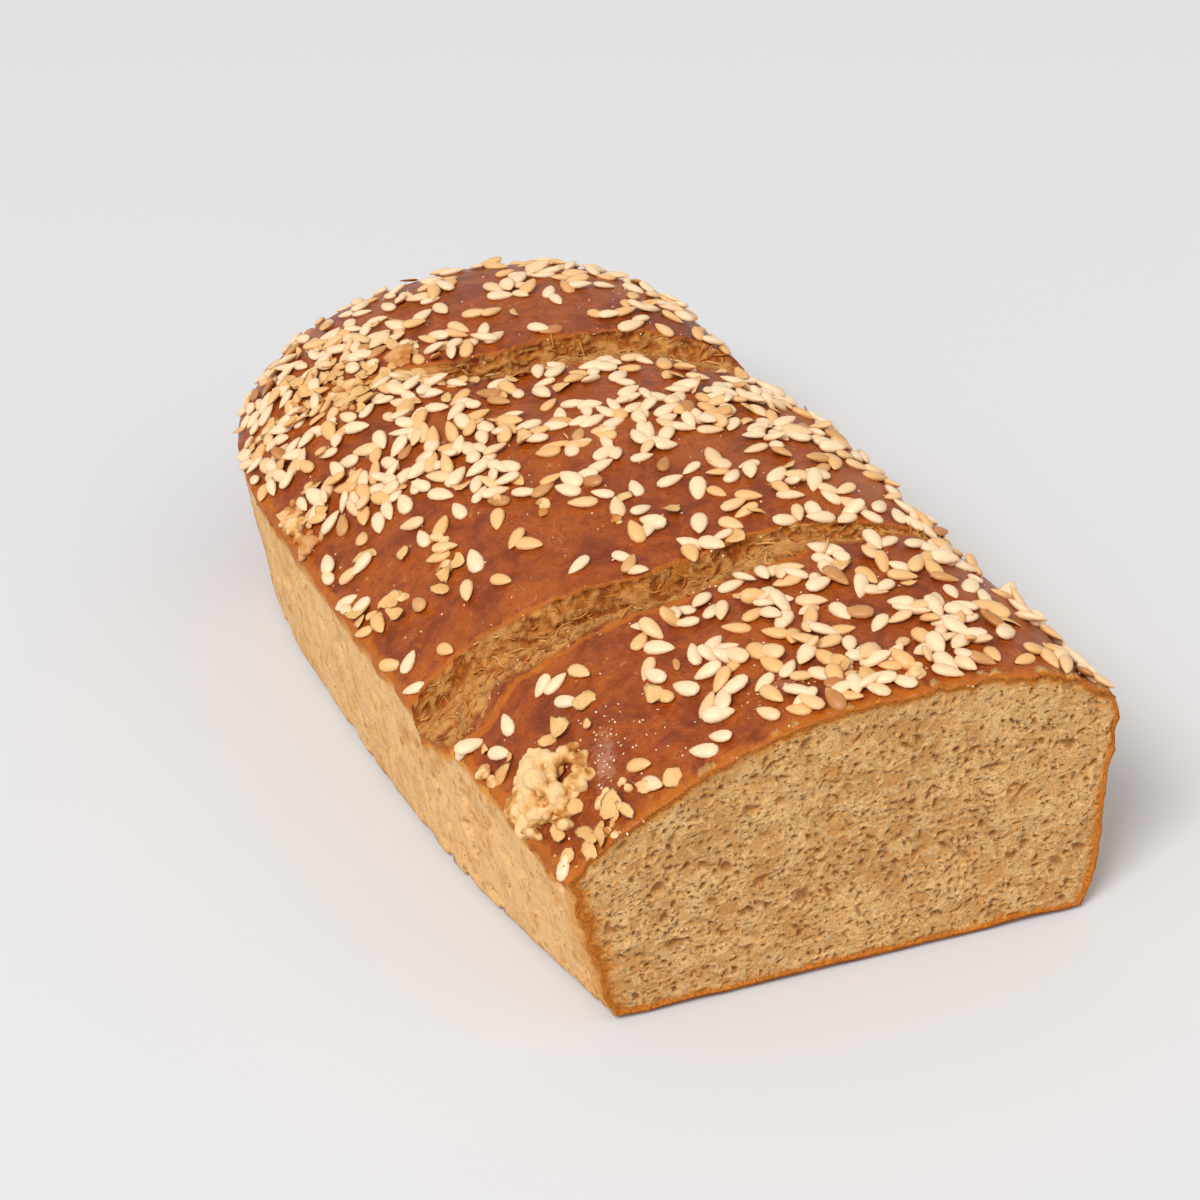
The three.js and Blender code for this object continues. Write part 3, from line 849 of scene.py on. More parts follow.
def seed_finish(looks):
    """Hulled seeds from ivory to golden, a few toasted, each by its own tone."""
    make = Finish("sesame_seed")
    tone = make.value("tone")
    grain = make.noise(0.5, 3.0, 0.6)
    colour = make.layers(
        looks.seed,
        (make.between(tone, 0.45, 0.85), looks.seed_golden),
        (make.between(tone, 0.93, 1.0), looks.seed_toasted),
        (make.value("tip") * 0.45, looks.seed_golden),
        (make.between(grain, 0.5, 0.8) * 0.3, looks.seed_golden),
    )
    relief = make.bump(grain, 0.06, 0.5)
    return make.finish(Base_Color=colour, Roughness=0.42, Normal=relief, Specular_IOR_Level=0.5)


def topping_finish(looks):
    """Crumbly golden topping with painted highlight on its crests and painted shade in its hollows.
    """
    make = Finish("flaky_topping")
    fine = make.noise(0.8, 4.0, 0.65)
    broad = make.noise(2.6, 3.0, 0.55)
    # Painted light: crest, from how far the shape was pushed out, lightens the crests and darkens
    # the hollows
    high = make.value("crest") + (fine - 0.5) * 0.5 + (broad - 0.5) * 0.4
    colour = make.layers(
        looks.topping_shade,
        (make.between(high, 0.2, 0.5), looks.topping),
        (make.between(high, 0.45, 0.85), looks.topping_pale_and_lit),
        (make.between(make.value("tone"), 0.5, 1.0) * 0.75, looks.gold),
    )
    relief = make.bump(fine, 0.3, 0.7)
    return make.finish(Base_Color=colour, Roughness=0.62, Normal=relief, Specular_IOR_Level=0.4)


def flour_finish(looks):
    """Dry white flour."""
    make = Finish("flour")
    grain = make.noise(0.3, 2.0)
    colour = make.mix(grain, looks.flour, looks.topping_pale_and_lit)
    return make.finish(Base_Color=colour, Roughness=0.9, Normal=make.bump(grain, 0.05, 0.5))


# ---- Pieces

def build_crust(material):
    """The crust all round, its edge at the cut, and a cap set back behind the crumb."""
    points, zone = crust_surface()
    rows, columns = points.shape[:2]
    front, middle, inward = cut_edge()
    rim = front + RIM * inward + RIM_DROP * INTO_LOAF
    cap = front + RIM * 1.6 * inward + RECESS * INTO_LOAF
    tip = points[-1].mean(0) * [1, 0, 0] + [0, TIP_Y, TIP_Z]
    poles = [middle + RECESS * INTO_LOAF, tip]
    whole = np.concatenate([cap, rim, points.reshape(-1, 3), poles])
    count = len(whole)
    quads = grid_faces(rows + 2, columns, 0, True)
    ends = [
        fan_faces(np.arange(columns)[::-1], count - 2),
        fan_faces(np.arange(columns) + (rows + 1) * columns, count - 1),
    ]
    column = np.arange(columns)
    on_top = (column >= LEFT_COLUMNS) & (column < LEFT_COLUMNS + TOP_COLUMNS)
    values = {}
    for key, share in zone.items():
        edge = np.where(on_top, 1.0, 0.55) * (key == "rim")
        values[key] = np.concatenate([edge, edge, share.ravel(), [0.0, 0.0]])
    return add_mesh("crust", whole, [quads, *ends], material, values)


def resampled(line, count):
    """A line of points at even steps of its length."""
    steps = np.linalg.norm(np.diff(line, axis=0), axis=-1)
    length = np.concatenate([[0], np.cumsum(steps)])
    wanted = np.linspace(0, length[-1], count)
    return np.stack([np.interp(wanted, length, line[:, i]) for i in range(3)], -1)


def build_crumb(material, pore_depth):
    """The cut face: a patch spanned by the crust's four edges at the cut, with real pores."""
    front, _, inward = cut_edge()
    front = front + CRUMB_INSET * inward
    last_top = LEFT_COLUMNS + TOP_COLUMNS
    last_right = last_top + RIGHT_COLUMNS
    back_round = np.concatenate([front[last_right:], front[:1]])[::-1]
    left = resampled(front[: LEFT_COLUMNS + 1], CRUMB_ROWS)[:, None]
    top = resampled(front[LEFT_COLUMNS : last_top + 1], CRUMB_COLUMNS)[None]
    right = resampled(front[last_top : last_right + 1][::-1], CRUMB_ROWS)[:, None]
    bottom = resampled(back_round, CRUMB_COLUMNS)[None]
    u = np.linspace(0, 1, CRUMB_COLUMNS)[None, :, None]
    v = np.linspace(0, 1, CRUMB_ROWS)[:, None, None]
    corners = (
        (1 - v) * ((1 - u) * bottom[:, :1] + u * bottom[:, -1:])
        + v * ((1 - u) * top[:, :1] + u * top[:, -1:])
    )
    face = (1 - v) * bottom + v * top + (1 - u) * left + u * right - corners
    flat = np.stack([face[..., 0] * math.hypot(1, CUT_SLOPE), face[..., 2]], -1)
    to_top = np.linalg.norm(face - top, axis=-1) / 1.3
    to_others = [
        np.linalg.norm(face - bottom, axis=-1) / 0.8,
        np.linalg.norm(face - left, axis=-1) / 2.2,
        np.linalg.norm(face - right, axis=-1) / 1.5,
        1.2 * to_top,
    ]
    inner = np.min([to_top, *to_others], 0)
    within = ease(0.0, 1.4, inner)
    warp = np.stack([rough(face, 2.2, 2, 101), rough(face, 2.2, 2, 105)], -1) * 0.6
    pore = np.maximum.reduce([
        pits(flat + warp, 3.3, 0.13, 0.4, 111),
        0.95 * pits(flat + warp, 1.9, 0.26, 0.45, 121),
        0.9 * pits(flat + warp, 1.25, 0.42, 0.5, 131),
        0.85 * pits(flat + warp, 0.85, 0.5, 0.6, 137),
    ])
    pore = ease(0.15, 0.9, pore) * within
    thread = threads(face, 2.0, 171) * (1 - 0.7 * pore) * within
    waves = 0.16 * rough(face, 9.0, 2, 141) + 0.06 * rough(face, 2.4, 2, 151)
    rags = 0.06 * rough(face, 0.9, 2, 161) + 0.6 * rough(face, 1.4, 2, 163) * (1 - within)
    depth = CRUMB_SINK - waves - 0.5 * rags - 0.15 * thread + pore_depth * pore
    depth = np.maximum(depth, 0.0) * ease(0, 0.4, inner) + LEAST_SINK
    face = face + depth[..., None] * INTO_LOAF
    index = np.arange(CRUMB_ROWS * CRUMB_COLUMNS).reshape(CRUMB_ROWS, CRUMB_COLUMNS)
    loop = np.concatenate([index[0, :-1], index[:-1, -1], index[-1, :0:-1], index[:0:-1, 0]])
    flat_points = face.reshape(-1, 3)
    back = flat_points[loop] + (RECESS - 0.3) * INTO_LOAF
    whole = np.concatenate([flat_points, back, [back.mean(0)]])
    start = len(flat_points)
    count = len(loop)
    here = np.arange(count)
    following = (here + 1) % count
    wall = np.stack([loop[following], loop[here], start + here, start + following], -1)
    shut = fan_faces(start + here[::-1], len(whole) - 1)
    faces = [grid_faces(CRUMB_ROWS, CRUMB_COLUMNS), wall, shut]
    # The pore and thread shares also set the crumb's painted shade and painted highlight
    shares = {
        "pore": pore,
        "edge": np.exp(-inner),
        "brown": np.exp(-np.min(to_others, 0)),
        "thread": thread,
    }
    extra = np.zeros(count + 1)
    values = {key: np.concatenate([share.ravel(), extra]) for key, share in shares.items()}
    return add_mesh("crumb", whole, faces, material, values)


def seed_density(points):
    """Seeds lie thickest on the right of the front part, towards the rear slash on the middle
    part, and on the left of the rear part. None lie in the torn floors of the slashes.
    """
    x, y = points[..., 0], points[..., 1]
    open_line, lip = front_open(x), front_lip(x)
    rear, behind = rear_open(x), rear_lip(x)
    front = lerp(0.12, 1.0, ease(-16, 8, x)) * (y > cut_line(x) + 2.2)
    middle_part = (y - lip) / (rear - lip)
    middle = lerp(0.14 + 0.3 * ease(-12, 12, x), 1.0, ease(0.2, 0.6, middle_part))
    back = lerp(1.0, 0.4, ease(-20, 4, x)) * lerp(1.0, 0.08, ease(52, 72, y))
    groove = 1 - ease(-16, -8, x)
    density = np.where(y < open_line - 0.8, front, 0.0)
    density = np.where((y >= lip + 0.8) & (y < rear - 0.5), middle, density)
    density = np.where((y >= rear - 0.5) & (y < behind + 0.8), groove, density)
    return np.where(y >= behind + 0.8, back, density)


def scatter(weight, wanted, spacing, random):
    """Points of the crust chosen by weight, none nearer than spacing to an earlier one."""
    points, normal, _ = top_surface()
    chance = (weight / weight.sum()).ravel()
    tries = min(np.count_nonzero(chance), wanted * TRIES)
    order = random.choice(len(chance), tries, replace=False, p=chance)
    flat = points.reshape(-1, 3)
    chosen = []
    placed = np.empty((0, 3))
    for index in order:
        if len(chosen) == wanted:
            break
        if len(placed) and np.min(np.sum((placed - flat[index]) ** 2, -1)) < spacing ** 2:
            continue
        chosen.append(index)
        placed = flat[chosen]
    return placed, normal.reshape(-1, 3)[chosen]


def frames_on(normal, heading):
    """Three axes at each place: along a heading in the surface, across it, and outwards."""
    level = np.stack([np.cos(heading), np.sin(heading), 0 * heading], -1)
    across = unit(np.cross(normal, level))
    along = np.cross(across, normal)
    return np.stack([along, across, normal], -2)


def copies(shape, axes, centres):
    """Each point of a shape carried to every centre on that centre's own axes."""
    return np.einsum("pi,nij->npj", shape, axes) + centres[:, None]


def drop_shape(around, rings):
    """A seed 2 long: rings of radius sqrt(1 - t^2), drawn to a point at t = 1, on poles."""
    t = -np.cos(math.pi * np.arange(1, rings + 1) / (rings + 1))[:, None]
    turn = 2 * math.pi * np.arange(around)[None] / around
    radius = np.sqrt(1 - t ** 2) * (1 - 0.28 * t) * (1 - 0.25 * np.maximum(0, t) ** 3)
    ring = np.stack([t + 0 * turn, radius * np.cos(turn), radius * np.sin(turn)], -1)
    points = np.concatenate([ring.reshape(-1, 3), [[-1.0, 0, 0], [1.04, 0, 0]]])
    return points, pole_faces(rings, around)


def held_in_box(placed):
    """Each shape is moved back as a whole by what of it stands out of the frame's box."""
    low, high = (np.array(corner) / MM for corner in CAD_BOX)
    over = np.maximum(placed.max(1) - high, 0) - np.maximum(low - placed.min(1), 0)
    return placed - over[:, None]


def add_copies(name, placed, faces, material, values=None):
    """One object of all copies of a shape, held in the frame's box.

    The faces are those of one copy. A value is a number for each copy, for each point of the
    shape, or one for all.
    """
    placed = held_in_box(placed)
    count, each = placed.shape[:2]
    shift = (np.arange(count) * each)[:, None, None]
    groups = [(group[None] + shift).reshape(-1, group.shape[1]) for group in faces]
    spread = {key: np.broadcast_to(share, (count, each)) for key, share in (values or {}).items()}
    return add_mesh(name, placed.reshape(-1, 3), groups, material, spread)


def build_seeds(material, count, length):
    """Teardrop seeds lying on the crust, some tipped up on their neighbours."""
    random = np.random.default_rng(5)
    points, _, area = top_surface()
    clumps = 0.25 + 0.75 * ease(-0.3, 0.35, rough(points, 6.0, 2, 201))
    weight = area * seed_density(points) * clumps
    for x, y, spread, *_ in MASSES:
        near = np.hypot(points[..., 0] - x, points[..., 1] - y)
        reach = spread + MASS_CLEARANCE
        weight = weight * ease(reach * 0.55, reach * 0.95, near)
    centres, out = scatter(weight, count, SEED_SPACING, random)
    total = len(centres)
    apart = np.linalg.norm(centres[:, None] - centres[None], axis=-1)
    earlier = np.tri(total, k=-1) * (apart < 2.8)
    crowd = np.clip((earlier * (1 - apart / 3.4)).sum(-1) * 1.2, 0, 1)
    heading = random.uniform(0, 2 * math.pi, total)
    tip_up = random.normal(0, 0.08, (total, 3))
    tip_up = tip_up + random.normal(0, 0.28, (total, 3)) * crowd[:, None]
    axes = frames_on(unit(out + tip_up), heading)
    grown = random.uniform(0.84, 1.14, (total, 1)) * length / 2
    wide = grown * random.uniform(0.5, 0.59, (total, 1))
    size = np.concatenate([grown, wide, SEED_THICKNESS * grown], -1)
    shape, faces = drop_shape(8, 5)
    centres = centres + out * (0.18 + 0.5 * crowd + random.uniform(0, 0.1, total))[:, None]
    placed = copies(shape, axes * size[:, :, None], centres)
    values = {"tone": random.uniform(0, 1, (total, 1)), "tip": ease(0.55, 1.0, shape[:, 0])}
    return add_copies("sesame", placed, faces, material, values)


# Masses of topping: x, y, how far they spread, how many pieces, their size, height and tone.
MASSES = (
    (-28.4, -55.0, 5.0, 34, 2.0, 0.8, 0.15),
    (-28.6, -55.4, 2.2, 8, 2.3, 0.95, 0.1),
    (-33.0, -45.8, 1.6, 5, 1.3, 0.5, 0.7),
    (-24.5, -62.0, 1.2, 4, 0.9, 0.6, 0.1),
    (-21.8, -61.9, 1.0, 3, 0.8, 0.6, 0.1),
    (-25.8, -66.0, 1.4, 4, 0.9, 0.6, 0.1),
    (-33.6, 12.5, 1.9, 7, 1.4, 0.55, 0.65),
    (-33.8, 17.6, 2.2, 8, 1.5, 0.6, 0.5),
    (-33.2, 21.4, 1.5, 5, 1.2, 0.5, 0.75),
    (-9.1, 35.8, 1.9, 5, 1.9, 0.45, 0.7),
    (-19.3, 32.3, 1.2, 3, 1.2, 0.4, 0.6),
    (-17.7, 39.9, 1.5, 4, 1.2, 0.4, 0.6),
    (-29.2, -9.8, 1.1, 3, 1.1, 0.4, 0.55),
    (-32.6, -9.6, 1.0, 3, 1.0, 0.45, 0.55),
    (-21.7, -6.9, 1.1, 3, 1.1, 0.4, 0.5),
    (-23.4, -12.1, 1.1, 3, 1.0, 0.4, 0.5),
    (-2.8, -21.7, 1.0, 3, 1.1, 0.4, 0.95),
    (-8.9, -12.1, 0.9, 3, 0.9, 0.5, 0.5),
    (12.0, -70.6, 1.2, 5, 1.0, 0.7, 0.3),
    (5.4, -65.4, 0.9, 3, 0.9, 0.6, 0.3),
)
MASS_CLEARANCE = 1.5        # no seeds lie this near a mass
GOLDEN_TURN = 2.4           # the pieces of a mass lie on a spiral, this angle apart


def ball_shape(around, rings):
    """A ball of radius 1: rings of points between two poles."""
    t = -np.cos(math.pi * np.arange(1, rings + 1) / (rings + 1))[:, None]
    turn = 2 * math.pi * np.arange(around)[None] / around
    radius = np.sqrt(1 - t ** 2)
    ring = np.stack([radius * np.cos(turn), radius * np.sin(turn), t + 0 * turn], -1)
    points = np.concatenate([ring.reshape(-1, 3), [[0, 0, -1.0], [0, 0, 1.0]]])
    return points, pole_faces(rings, around)


def nearest_on_top(places):
    """The crust's point and normal nearest in plan to each place, on its upper side."""
    points, normal, area = top_surface()
    flat = points[area > 0]
    outward = normal[area > 0]
    found = [np.argmin((flat[:, 0] - x) ** 2 + (flat[:, 1] - y) ** 2) for x, y in places]
    return flat[found], outward[found]


def build_topping(material):
    """Crumbly masses: balls of many sizes, flattened, pushed in and out by noise and heaped."""
    random = np.random.default_rng(9)
    places, sizes, heights, tones = [], [], [], []
    for x, y, spread, pieces, size, flatness, tone in MASSES:
        step = np.arange(pieces)
        out = spread * np.sqrt(step / pieces)
        turn = GOLDEN_TURN * step
        astray = random.normal(0, 0.12 * spread, (pieces, 2))
        places.append(np.stack([x + out * np.cos(turn), y + out * np.sin(turn)], -1) + astray)
        grown = size * random.uniform(0.55, 1.1, pieces) * lerp(1.0, 0.7, out / spread)
        wide = grown * random.uniform(0.6, 1.0, pieces)
        sizes.append(np.stack([grown, wide, grown * flatness], -1))
        heights.append(grown * flatness * lerp(0.75, 0.25, out / spread))
        tones.append(np.clip(tone + random.normal(0, 0.18, pieces), 0, 1))
    place, size = np.concatenate(places), np.concatenate(sizes)
    height, tone = np.concatenate(heights), np.concatenate(tones)
    centres, out = nearest_on_top(place)
    total = len(centres)
    tilt = out + random.normal(0, 0.3, (total, 3))
    axes = frames_on(unit(tilt), random.uniform(0, 2 * math.pi, total))
    shape, faces = ball_shape(26, 17)
    placed = copies(shape, axes * size[:, :, None], centres + out * height[:, None])
    middle = placed.mean(1, keepdims=True)
    away = placed - middle
    push = 0.42 * rough(placed, 2.2, 3, 301, 0.55) + 0.14 * ridged(placed, 1.2, 2, 311) - 0.05
    placed = middle + away * (1 + push[..., None])
    # crest, from how far each point was pushed out, drives the topping's painted highlight and
    # painted shade
    values = {"tone": tone[:, None], "crest": ease(-0.5, 0.38, push)}
    return add_copies("topping", placed, faces, material, values)


def build_fibres(material, count):
    """Torn strands in the slashes: thin tapered tubes on arcs whose ends dip into the floor."""
    random = np.random.default_rng(21)
    weight = top_surface()[2] * crust_surface()[1]["torn"] ** 2
    centres, out = scatter(weight, count, 0.7, random)
    total = len(centres)
    heading = random.normal(math.pi / 2 + 0.2, 0.9, total)
    axes = frames_on(out, heading)
    steps, sides = 11, 5
    t = np.linspace(-1, 1, steps)[:, None]
    turn = 2 * math.pi * np.arange(sides)[None] / sides
    radius = STRAND_RADIUS * np.sqrt(1 - 0.8 * t ** 2)
    length = random.uniform(0.5, 1.8, (total, 1, 1))
    rise = random.uniform(0.0, 0.45, (total, 1, 1))
    sway = random.uniform(0.05, 0.6, (total, 1, 1)) * length
    waves = random.uniform(1.0, 3.4, (total, 1, 1))
    phase = random.uniform(0, 2 * math.pi, (total, 1, 1))
    thick = random.uniform(0.5, 1.4, (total, 1, 1))
    along = length * t + 0 * turn
    bend = 0.6 * sway * np.sin(waves * t + phase)
    side = bend + thick * radius * np.cos(turn)
    lift = rise * (1 - t ** 2) - STRAND_RADIUS + thick * radius * np.sin(turn)
    tube = np.stack([along, side + 0 * lift, lift + 0 * side], -1).reshape(total, -1, 3)
    ends = tube.reshape(total, steps, sides, 3)[:, [0, -1]].mean(2)
    shape = np.concatenate([tube, ends], 1)
    placed = np.einsum("npi,nij->npj", shape, axes) + centres[:, None]
    values = {"tone": random.uniform(0, 1, (total, 1))}
    return add_copies("torn_fibres", placed, pole_faces(steps, sides), material, values)


def flake_density(points):
    """Flakes of topping lie about the masses, in the rear groove and behind it."""
    x, y = points[..., 0], points[..., 1]
    near = 0
    for mass_x, mass_y, spread, *_ in MASSES:
        near = near + np.exp(-((x - mass_x) ** 2 + (y - mass_y) ** 2) / (2 * (spread + 0.8) ** 2))
    groove = bell(y - rear_open(x), 3.0) * (1 - 0.7 * ease(-6, 12, x))
    behind = bell(x + 17, 8) * bell(y - 42, 7)
    return seed_density(points) * (0.06 + 0.9 * groove + 1.3 * behind) + 0.4 * near


def build_flakes(material, count):
    """Thin curled flakes: flattened balls with noise round their edges, bent along their length."""
    random = np.random.default_rng(17)
    points, _, area = top_surface()
    behind_cut = points[..., 1] > cut_line(points[..., 0]) + 1
    centres, out = scatter(area * flake_density(points) * behind_cut, count, 0.9, random)
    total = len(centres)
    lean = out + random.normal(0, 0.25, (total, 3))
    axes = frames_on(unit(lean), random.uniform(0, 2 * math.pi, total))
    shape, faces = ball_shape(11, 5)
    long = random.uniform(0.8, 1.9, (total, 1))
    slim = random.uniform(0.45, 0.85, (total, 1))
    curl = random.uniform(-0.5, 0.9, (total, 1))
    own_noise = shape[None] * 1.1 + 9.0 * np.arange(total)[:, None, None]
    edge = 1 + 0.35 * rough(own_noise, 1.0, 2, 401)
    x = shape[:, 0] * long * edge
    y = shape[:, 1] * long * slim * edge
    z = shape[:, 2] * 0.16 + curl * (x ** 2 / long) * 0.55 + 0.1 * y
    placed = np.einsum("npi,nij->npj", np.stack([x, y, z], -1), axes)
    placed = placed + (centres + out * random.uniform(0.25, 0.6, (total, 1)))[:, None]
    tone = np.clip(random.normal(0.35, 0.25, (total, 1)), 0, 1)
    # A fixed crest share gives the flakes part of the topping's painted highlight
    return add_copies("flakes", placed, faces, material, {"tone": tone, "crest": 0.6})


def build_flour(material, count):
    """Grains of flour and tiny crumbs, thick at the front left corner and thin elsewhere."""
    random = np.random.default_rng(13)
    points, _, area = top_surface()
    x, y = points[..., 0], points[..., 1]
    trail = bell(x + 21.5 - 0.35 * (y + 56), 1.6) * bell(y + 57, 7)
    corner = bell(x + 22, 7) * bell(y + 57, 7)
    patch = bell(x + 1.3, 3.5) * bell(y + 64, 2.0)
    clump = bell(x + 30, 5) * bell(y - 17, 7)
    weight = area * (0.03 + 1.1 * trail + 0.5 * corner + 1.4 * patch + 0.4 * clump)
    centres, out = scatter(weight, count, 0.3, random)
    total = len(centres)
    size = random.uniform(0.06, 0.17, (total, 3)) * [1.5, 1, 0.7]
    axes = frames_on(out, random.uniform(0, 2 * math.pi, total))
    shape, faces = ball_shape(5, 3)
    placed = copies(shape, axes * size[:, :, None], centres + out * size[:, 2:] * 0.5)
    return add_copies("flour", placed, faces, material)


# ---- The add-on

def colour_of(name, description, default):
    return bpy.props.FloatVectorProperty(
        name=name, description=description, default=default, subtype="COLOR", min=0, max=1
    )


def count_of(name, description, default):
    return bpy.props.IntProperty(name=name, description=description, default=default, min=0)


class LoafSizes(bpy.types.PropertyGroup):
    """How many seeds and grains there are, and how large."""

    seeds: count_of("Seeds", "How many sesame seeds lie on the crust", 940)
    seed_length: bpy.props.FloatProperty(
        name="Seed length", description="Length of a sesame seed, in millimetres", default=3.7
    )
    pore_depth: bpy.props.FloatProperty(
        name="Pore depth", description="Depth of the crumb's pores, in millimetres", default=0.52
    )
    flakes: count_of("Flakes", "How many thin flakes lie on the crust", 190)
    fibres: count_of("Fibres", "How many torn strands lie in the slashes", 320)
    grains: count_of("Grains", "How many grains of flour lie on the crust", 480)


class LoafLooks(bpy.types.PropertyGroup):
    """The loaf's colours."""

    crust: colour_of("Crust", "Baked crust", (0.35, 0.063, 0.003))
    crust_dark: colour_of("Dark crust", "Darker patches of the crust", (0.2, 0.028, 0.001))
    crust_light: colour_of("Light crust", "Lighter patches of the crust", (0.46, 0.105, 0.007))
    gold: colour_of("Gold", "Edges of the crust", (0.5, 0.132, 0.006))
    amber: colour_of("Amber", "Rim of the crust at the cut and walls", (0.68, 0.28, 0.03))
    tear_light: colour_of("Torn crust", "Floors of the slashes", (0.56, 0.21, 0.03))
    # Partly the torn crust's own darker colour, partly painted shade in the slashes' hollows
    tear_dark_and_shade: colour_of("Dark torn crust", "Hollows in the slashes", (0.22, 0.038, 0.001))
    strand: colour_of("Strand", "Torn strands in the slashes", (0.66, 0.34, 0.095))
    wall_light: colour_of("Wall", "Left wall, which was pulled apart", (0.83, 0.5, 0.21))
    wall_dark: colour_of("Dark wall", "Streaks on that wall", (0.7, 0.37, 0.125))
    stain: colour_of("Stain", "Yellow-brown stains on the walls", (0.58, 0.24, 0.045))
    crumb: colour_of("Crumb", "Crumb of the cut face", (0.67, 0.365, 0.13))
    crumb_dark: colour_of("Dark crumb", "Darker parts of the crumb", (0.54, 0.25, 0.07))
    # Painted highlight on the crumb's threads and crests
    crumb_highlight: colour_of("Light crumb", "Crests of the crumb", (0.81, 0.52, 0.23))
    # Painted shade inside the crumb's pores
    pore: colour_of("Pore", "Insides of the pores", (0.3, 0.095, 0.012))
    seed: colour_of("Seed", "Most sesame seeds", (0.88, 0.64, 0.395))
    seed_golden: colour_of("Golden seed", "Golden sesame seeds", (0.8, 0.45, 0.17))
    seed_toasted: colour_of("Toasted seed", "Toasted sesame seeds", (0.48, 0.18, 0.045))
    topping: colour_of("Topping", "Crumbly topping", (0.71, 0.39, 0.125))
    # Pale topping: painted highlight on the topping's crests, and a real pale tone in the flour
    topping_pale_and_lit: colour_of("Light topping", "Crests of the topping", (0.82, 0.54, 0.25))
    # Painted shade in the topping's hollows
    topping_shade: colour_of("Dark topping", "Hollows of the topping", (0.5, 0.2, 0.034))
    flour: colour_of("Flour", "Grains of flour", (0.9, 0.78, 0.64))


class LoafStage(bpy.types.PropertyGroup):
    """The floor, the lights and the camera."""

    floor: colour_of("Floor", "Colour of the floor", (0.66, 0.655, 0.657))
    lens: bpy.props.FloatProperty(
        name="Lens", description="Focal length of the camera, in millimetres", default=86.0
    )
    roll: bpy.props.FloatProperty(
        name="Roll",
        description="How far the camera leans over, as at the side of a wider view",
        default=math.radians(8.5),
        subtype="ANGLE",
    )
    key: bpy.props.FloatProperty(
        name="Key light", description="Power of the main light", default=42.0, unit="POWER"
    )
    fill: bpy.props.FloatProperty(
        name="Fill light", description="Power of the second light", default=6.0, unit="POWER"
    )
    sky: bpy.props.FloatProperty(
        name="Surround", description="Strength of the light from all round", default=0.61
    )


class LOAF_OT_crust(bpy.types.Operator):
    """Makes the crust, from the cut's edge to the round end"""

    bl_idname = "loaf.crust"
    bl_label = "Crust"

    def execute(self, context):
        join_in(build_crust(crust_finish(context.scene.loaf_looks)))
        return {"FINISHED"}


class LOAF_OT_crumb(bpy.types.Operator):
    """Makes the crumb of the cut face, with its pores"""

    bl_idname = "loaf.crumb"
    bl_label = "Crumb"

    def execute(self, context):
        depth = context.scene.loaf_sizes.pore_depth
        join_in(build_crumb(crumb_finish(context.scene.loaf_looks), depth))
        return {"FINISHED"}


class LOAF_OT_seeds(bpy.types.Operator):
    """Scatters the sesame seeds over the crust"""

    bl_idname = "loaf.seeds"
    bl_label = "Sesame seeds"

    def execute(self, context):
        sizes = context.scene.loaf_sizes
        material = seed_finish(context.scene.loaf_looks)
        join_in(build_seeds(material, sizes.seeds, sizes.seed_length))
        return {"FINISHED"}


class LOAF_OT_topping(bpy.types.Operator):
    """Heaps the crumbly topping and scatters the flour"""

    bl_idname = "loaf.topping"
    bl_label = "Topping and flour"

    def execute(self, context):
        looks = context.scene.loaf_looks
        sizes = context.scene.loaf_sizes
        material = topping_finish(looks)
        join_in(build_topping(material))
        join_in(build_flakes(material, sizes.flakes))
        join_in(build_flour(flour_finish(looks), sizes.grains))
        return {"FINISHED"}


class LOAF_OT_fibres(bpy.types.Operator):
    """Strings torn strands of crumb along the floors of both slashes"""

    bl_idname = "loaf.fibres"
    bl_label = "Torn fibres"

    def execute(self, context):
        material = fibre_finish(context.scene.loaf_looks)
        join_in(build_fibres(material, context.scene.loaf_sizes.fibres))
        return {"FINISHED"}


def add_light(name, place, size, power):
    """A square soft light, aimed at the loaf."""
    light = bpy.data.lights.new(name, "AREA")
    light.shape = "SQUARE"
    light.size = size
    light.energy = power
    lamp = bpy.data.objects.new(name, light)
    lamp.location = place
    way = Vector(LIGHT_AIM) - Vector(place)
    lamp.rotation_euler = way.to_track_quat("-Z", "Y").to_euler()
    bpy.context.scene.collection.objects.link(lamp)


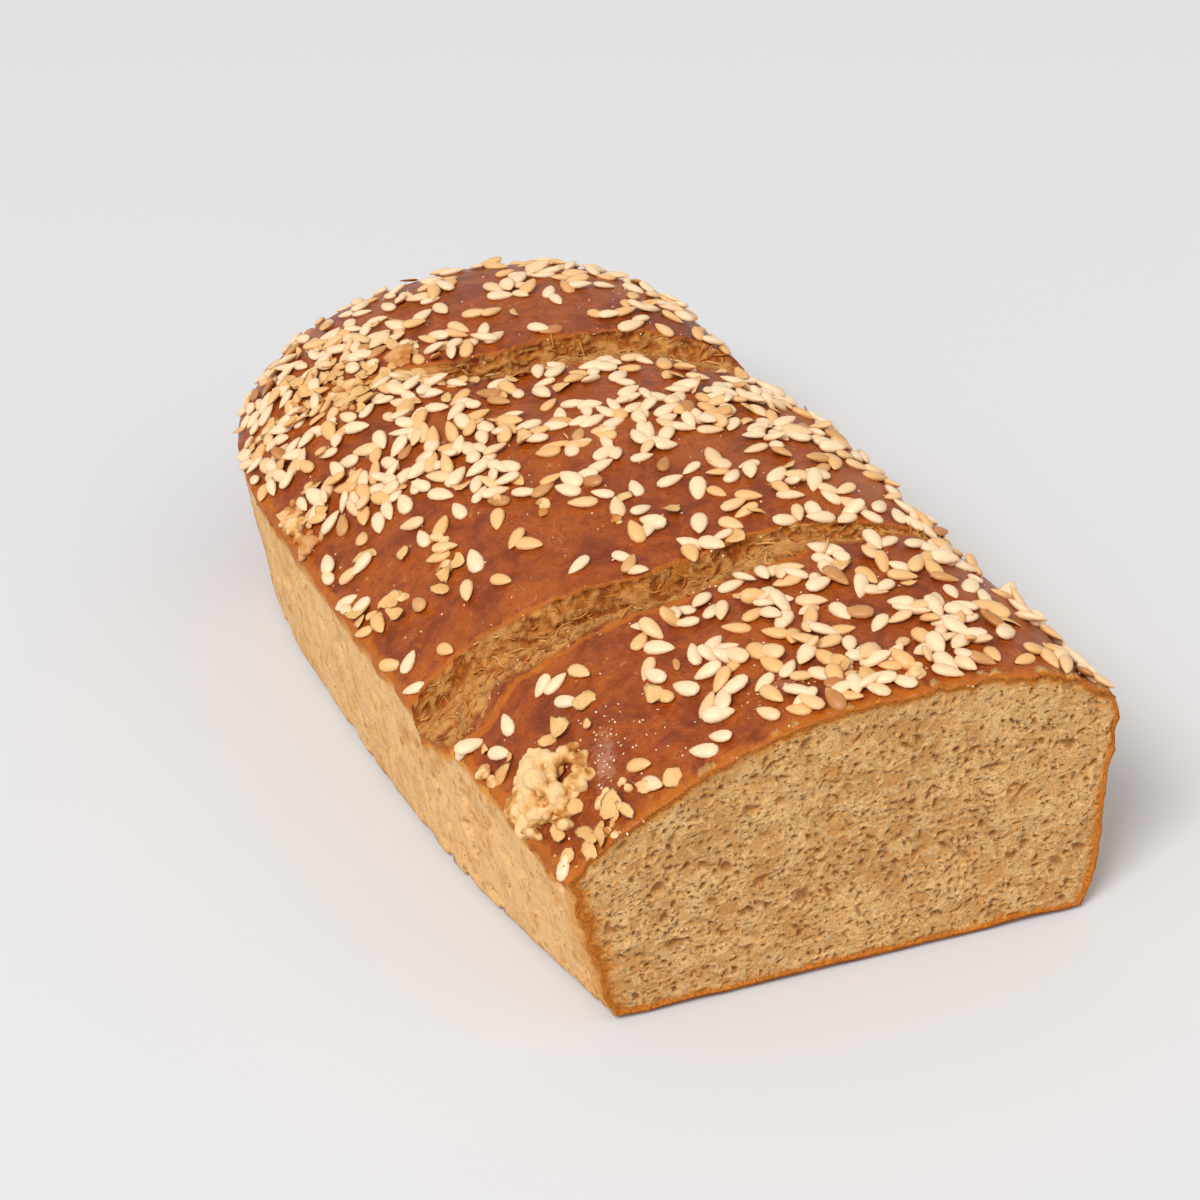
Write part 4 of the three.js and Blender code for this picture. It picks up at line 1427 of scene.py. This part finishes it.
class LOAF_OT_stage(bpy.types.Operator):
    """Lays the floor, hangs the lights and sets up the camera"""

    bl_idname = "loaf.stage"
    bl_label = "Stage"

    def execute(self, context):
        scene = context.scene
        stage = scene.loaf_stage
        make = Finish("plain_floor")
        corners = FLOOR_HALF * np.array([[-1, -1, 0], [1, -1, 0], [1, 1, 0], [-1, 1, 0]])
        floor_material = make.finish(Base_Color=tuple(stage.floor), Roughness=0.9)
        floor = add_mesh("floor", corners / MM, [np.array([[0, 1, 2, 3]])], floor_material)
        add_light("key_light", KEY_PLACE, KEY_SIZE, stage.key)
        add_light("fill_light", FILL_PLACE, FILL_SIZE, stage.fill)
        world = bpy.data.worlds.new("soft_surround")
        world.use_nodes = True
        surround = world.node_tree.nodes["Background"]
        surround.inputs["Color"].default_value = (1.0, 1.0, 1.0, 1.0)
        surround.inputs["Strength"].default_value = stage.sky
        scene.world = world
        scene.view_settings.view_transform = "Standard"
        camera = bpy.data.objects.new("photo_camera", bpy.data.cameras.new("photo_camera"))
        camera.data.lens = stage.lens
        camera.location = CAMERA_PLACE
        aimed = (Vector(CAMERA_AIM) - camera.location).to_track_quat("-Z", "Y")
        camera.rotation_euler = (aimed @ Quaternion((0, 0, 1), -stage.roll)).to_euler()
        scene.collection.objects.link(camera)
        scene.camera = camera
        return {"FINISHED"}


class LOAF_PT_panel(bpy.types.Panel):
    """Lists the loaf's pieces"""

    bl_label = "Half sesame loaf"
    bl_space_type = "VIEW_3D"
    bl_region_type = "UI"
    bl_category = "Loaf"

    def draw(self, context):
        for group in ("loaf_sizes", "loaf_looks", "loaf_stage"):
            settings = getattr(context.scene, group)
            for key in type(settings).__annotations__:
                self.layout.prop(settings, key)
        for operator in OPERATORS:
            self.layout.operator(operator.bl_idname)


OPERATORS = (
    LOAF_OT_crust, LOAF_OT_crumb, LOAF_OT_fibres, LOAF_OT_seeds, LOAF_OT_topping, LOAF_OT_stage,
)
GROUPS = {"loaf_sizes": LoafSizes, "loaf_looks": LoafLooks, "loaf_stage": LoafStage}


def register():
    for cls in (*GROUPS.values(), *OPERATORS, LOAF_PT_panel):
        bpy.utils.register_class(cls)
    for key, group in GROUPS.items():
        setattr(bpy.types.Scene, key, bpy.props.PointerProperty(type=group))


def unregister():
    for key in GROUPS:
        delattr(bpy.types.Scene, key)
    for cls in (LOAF_PT_panel, *OPERATORS, *GROUPS.values()):
        bpy.utils.unregister_class(cls)


def main():
    register()
    bpy.ops.loaf.crust()
    bpy.ops.loaf.crumb()
    bpy.ops.loaf.fibres()
    bpy.ops.loaf.seeds()
    bpy.ops.loaf.topping()
    bpy.ops.loaf.stage()


if __name__ == "__main__":
    main()
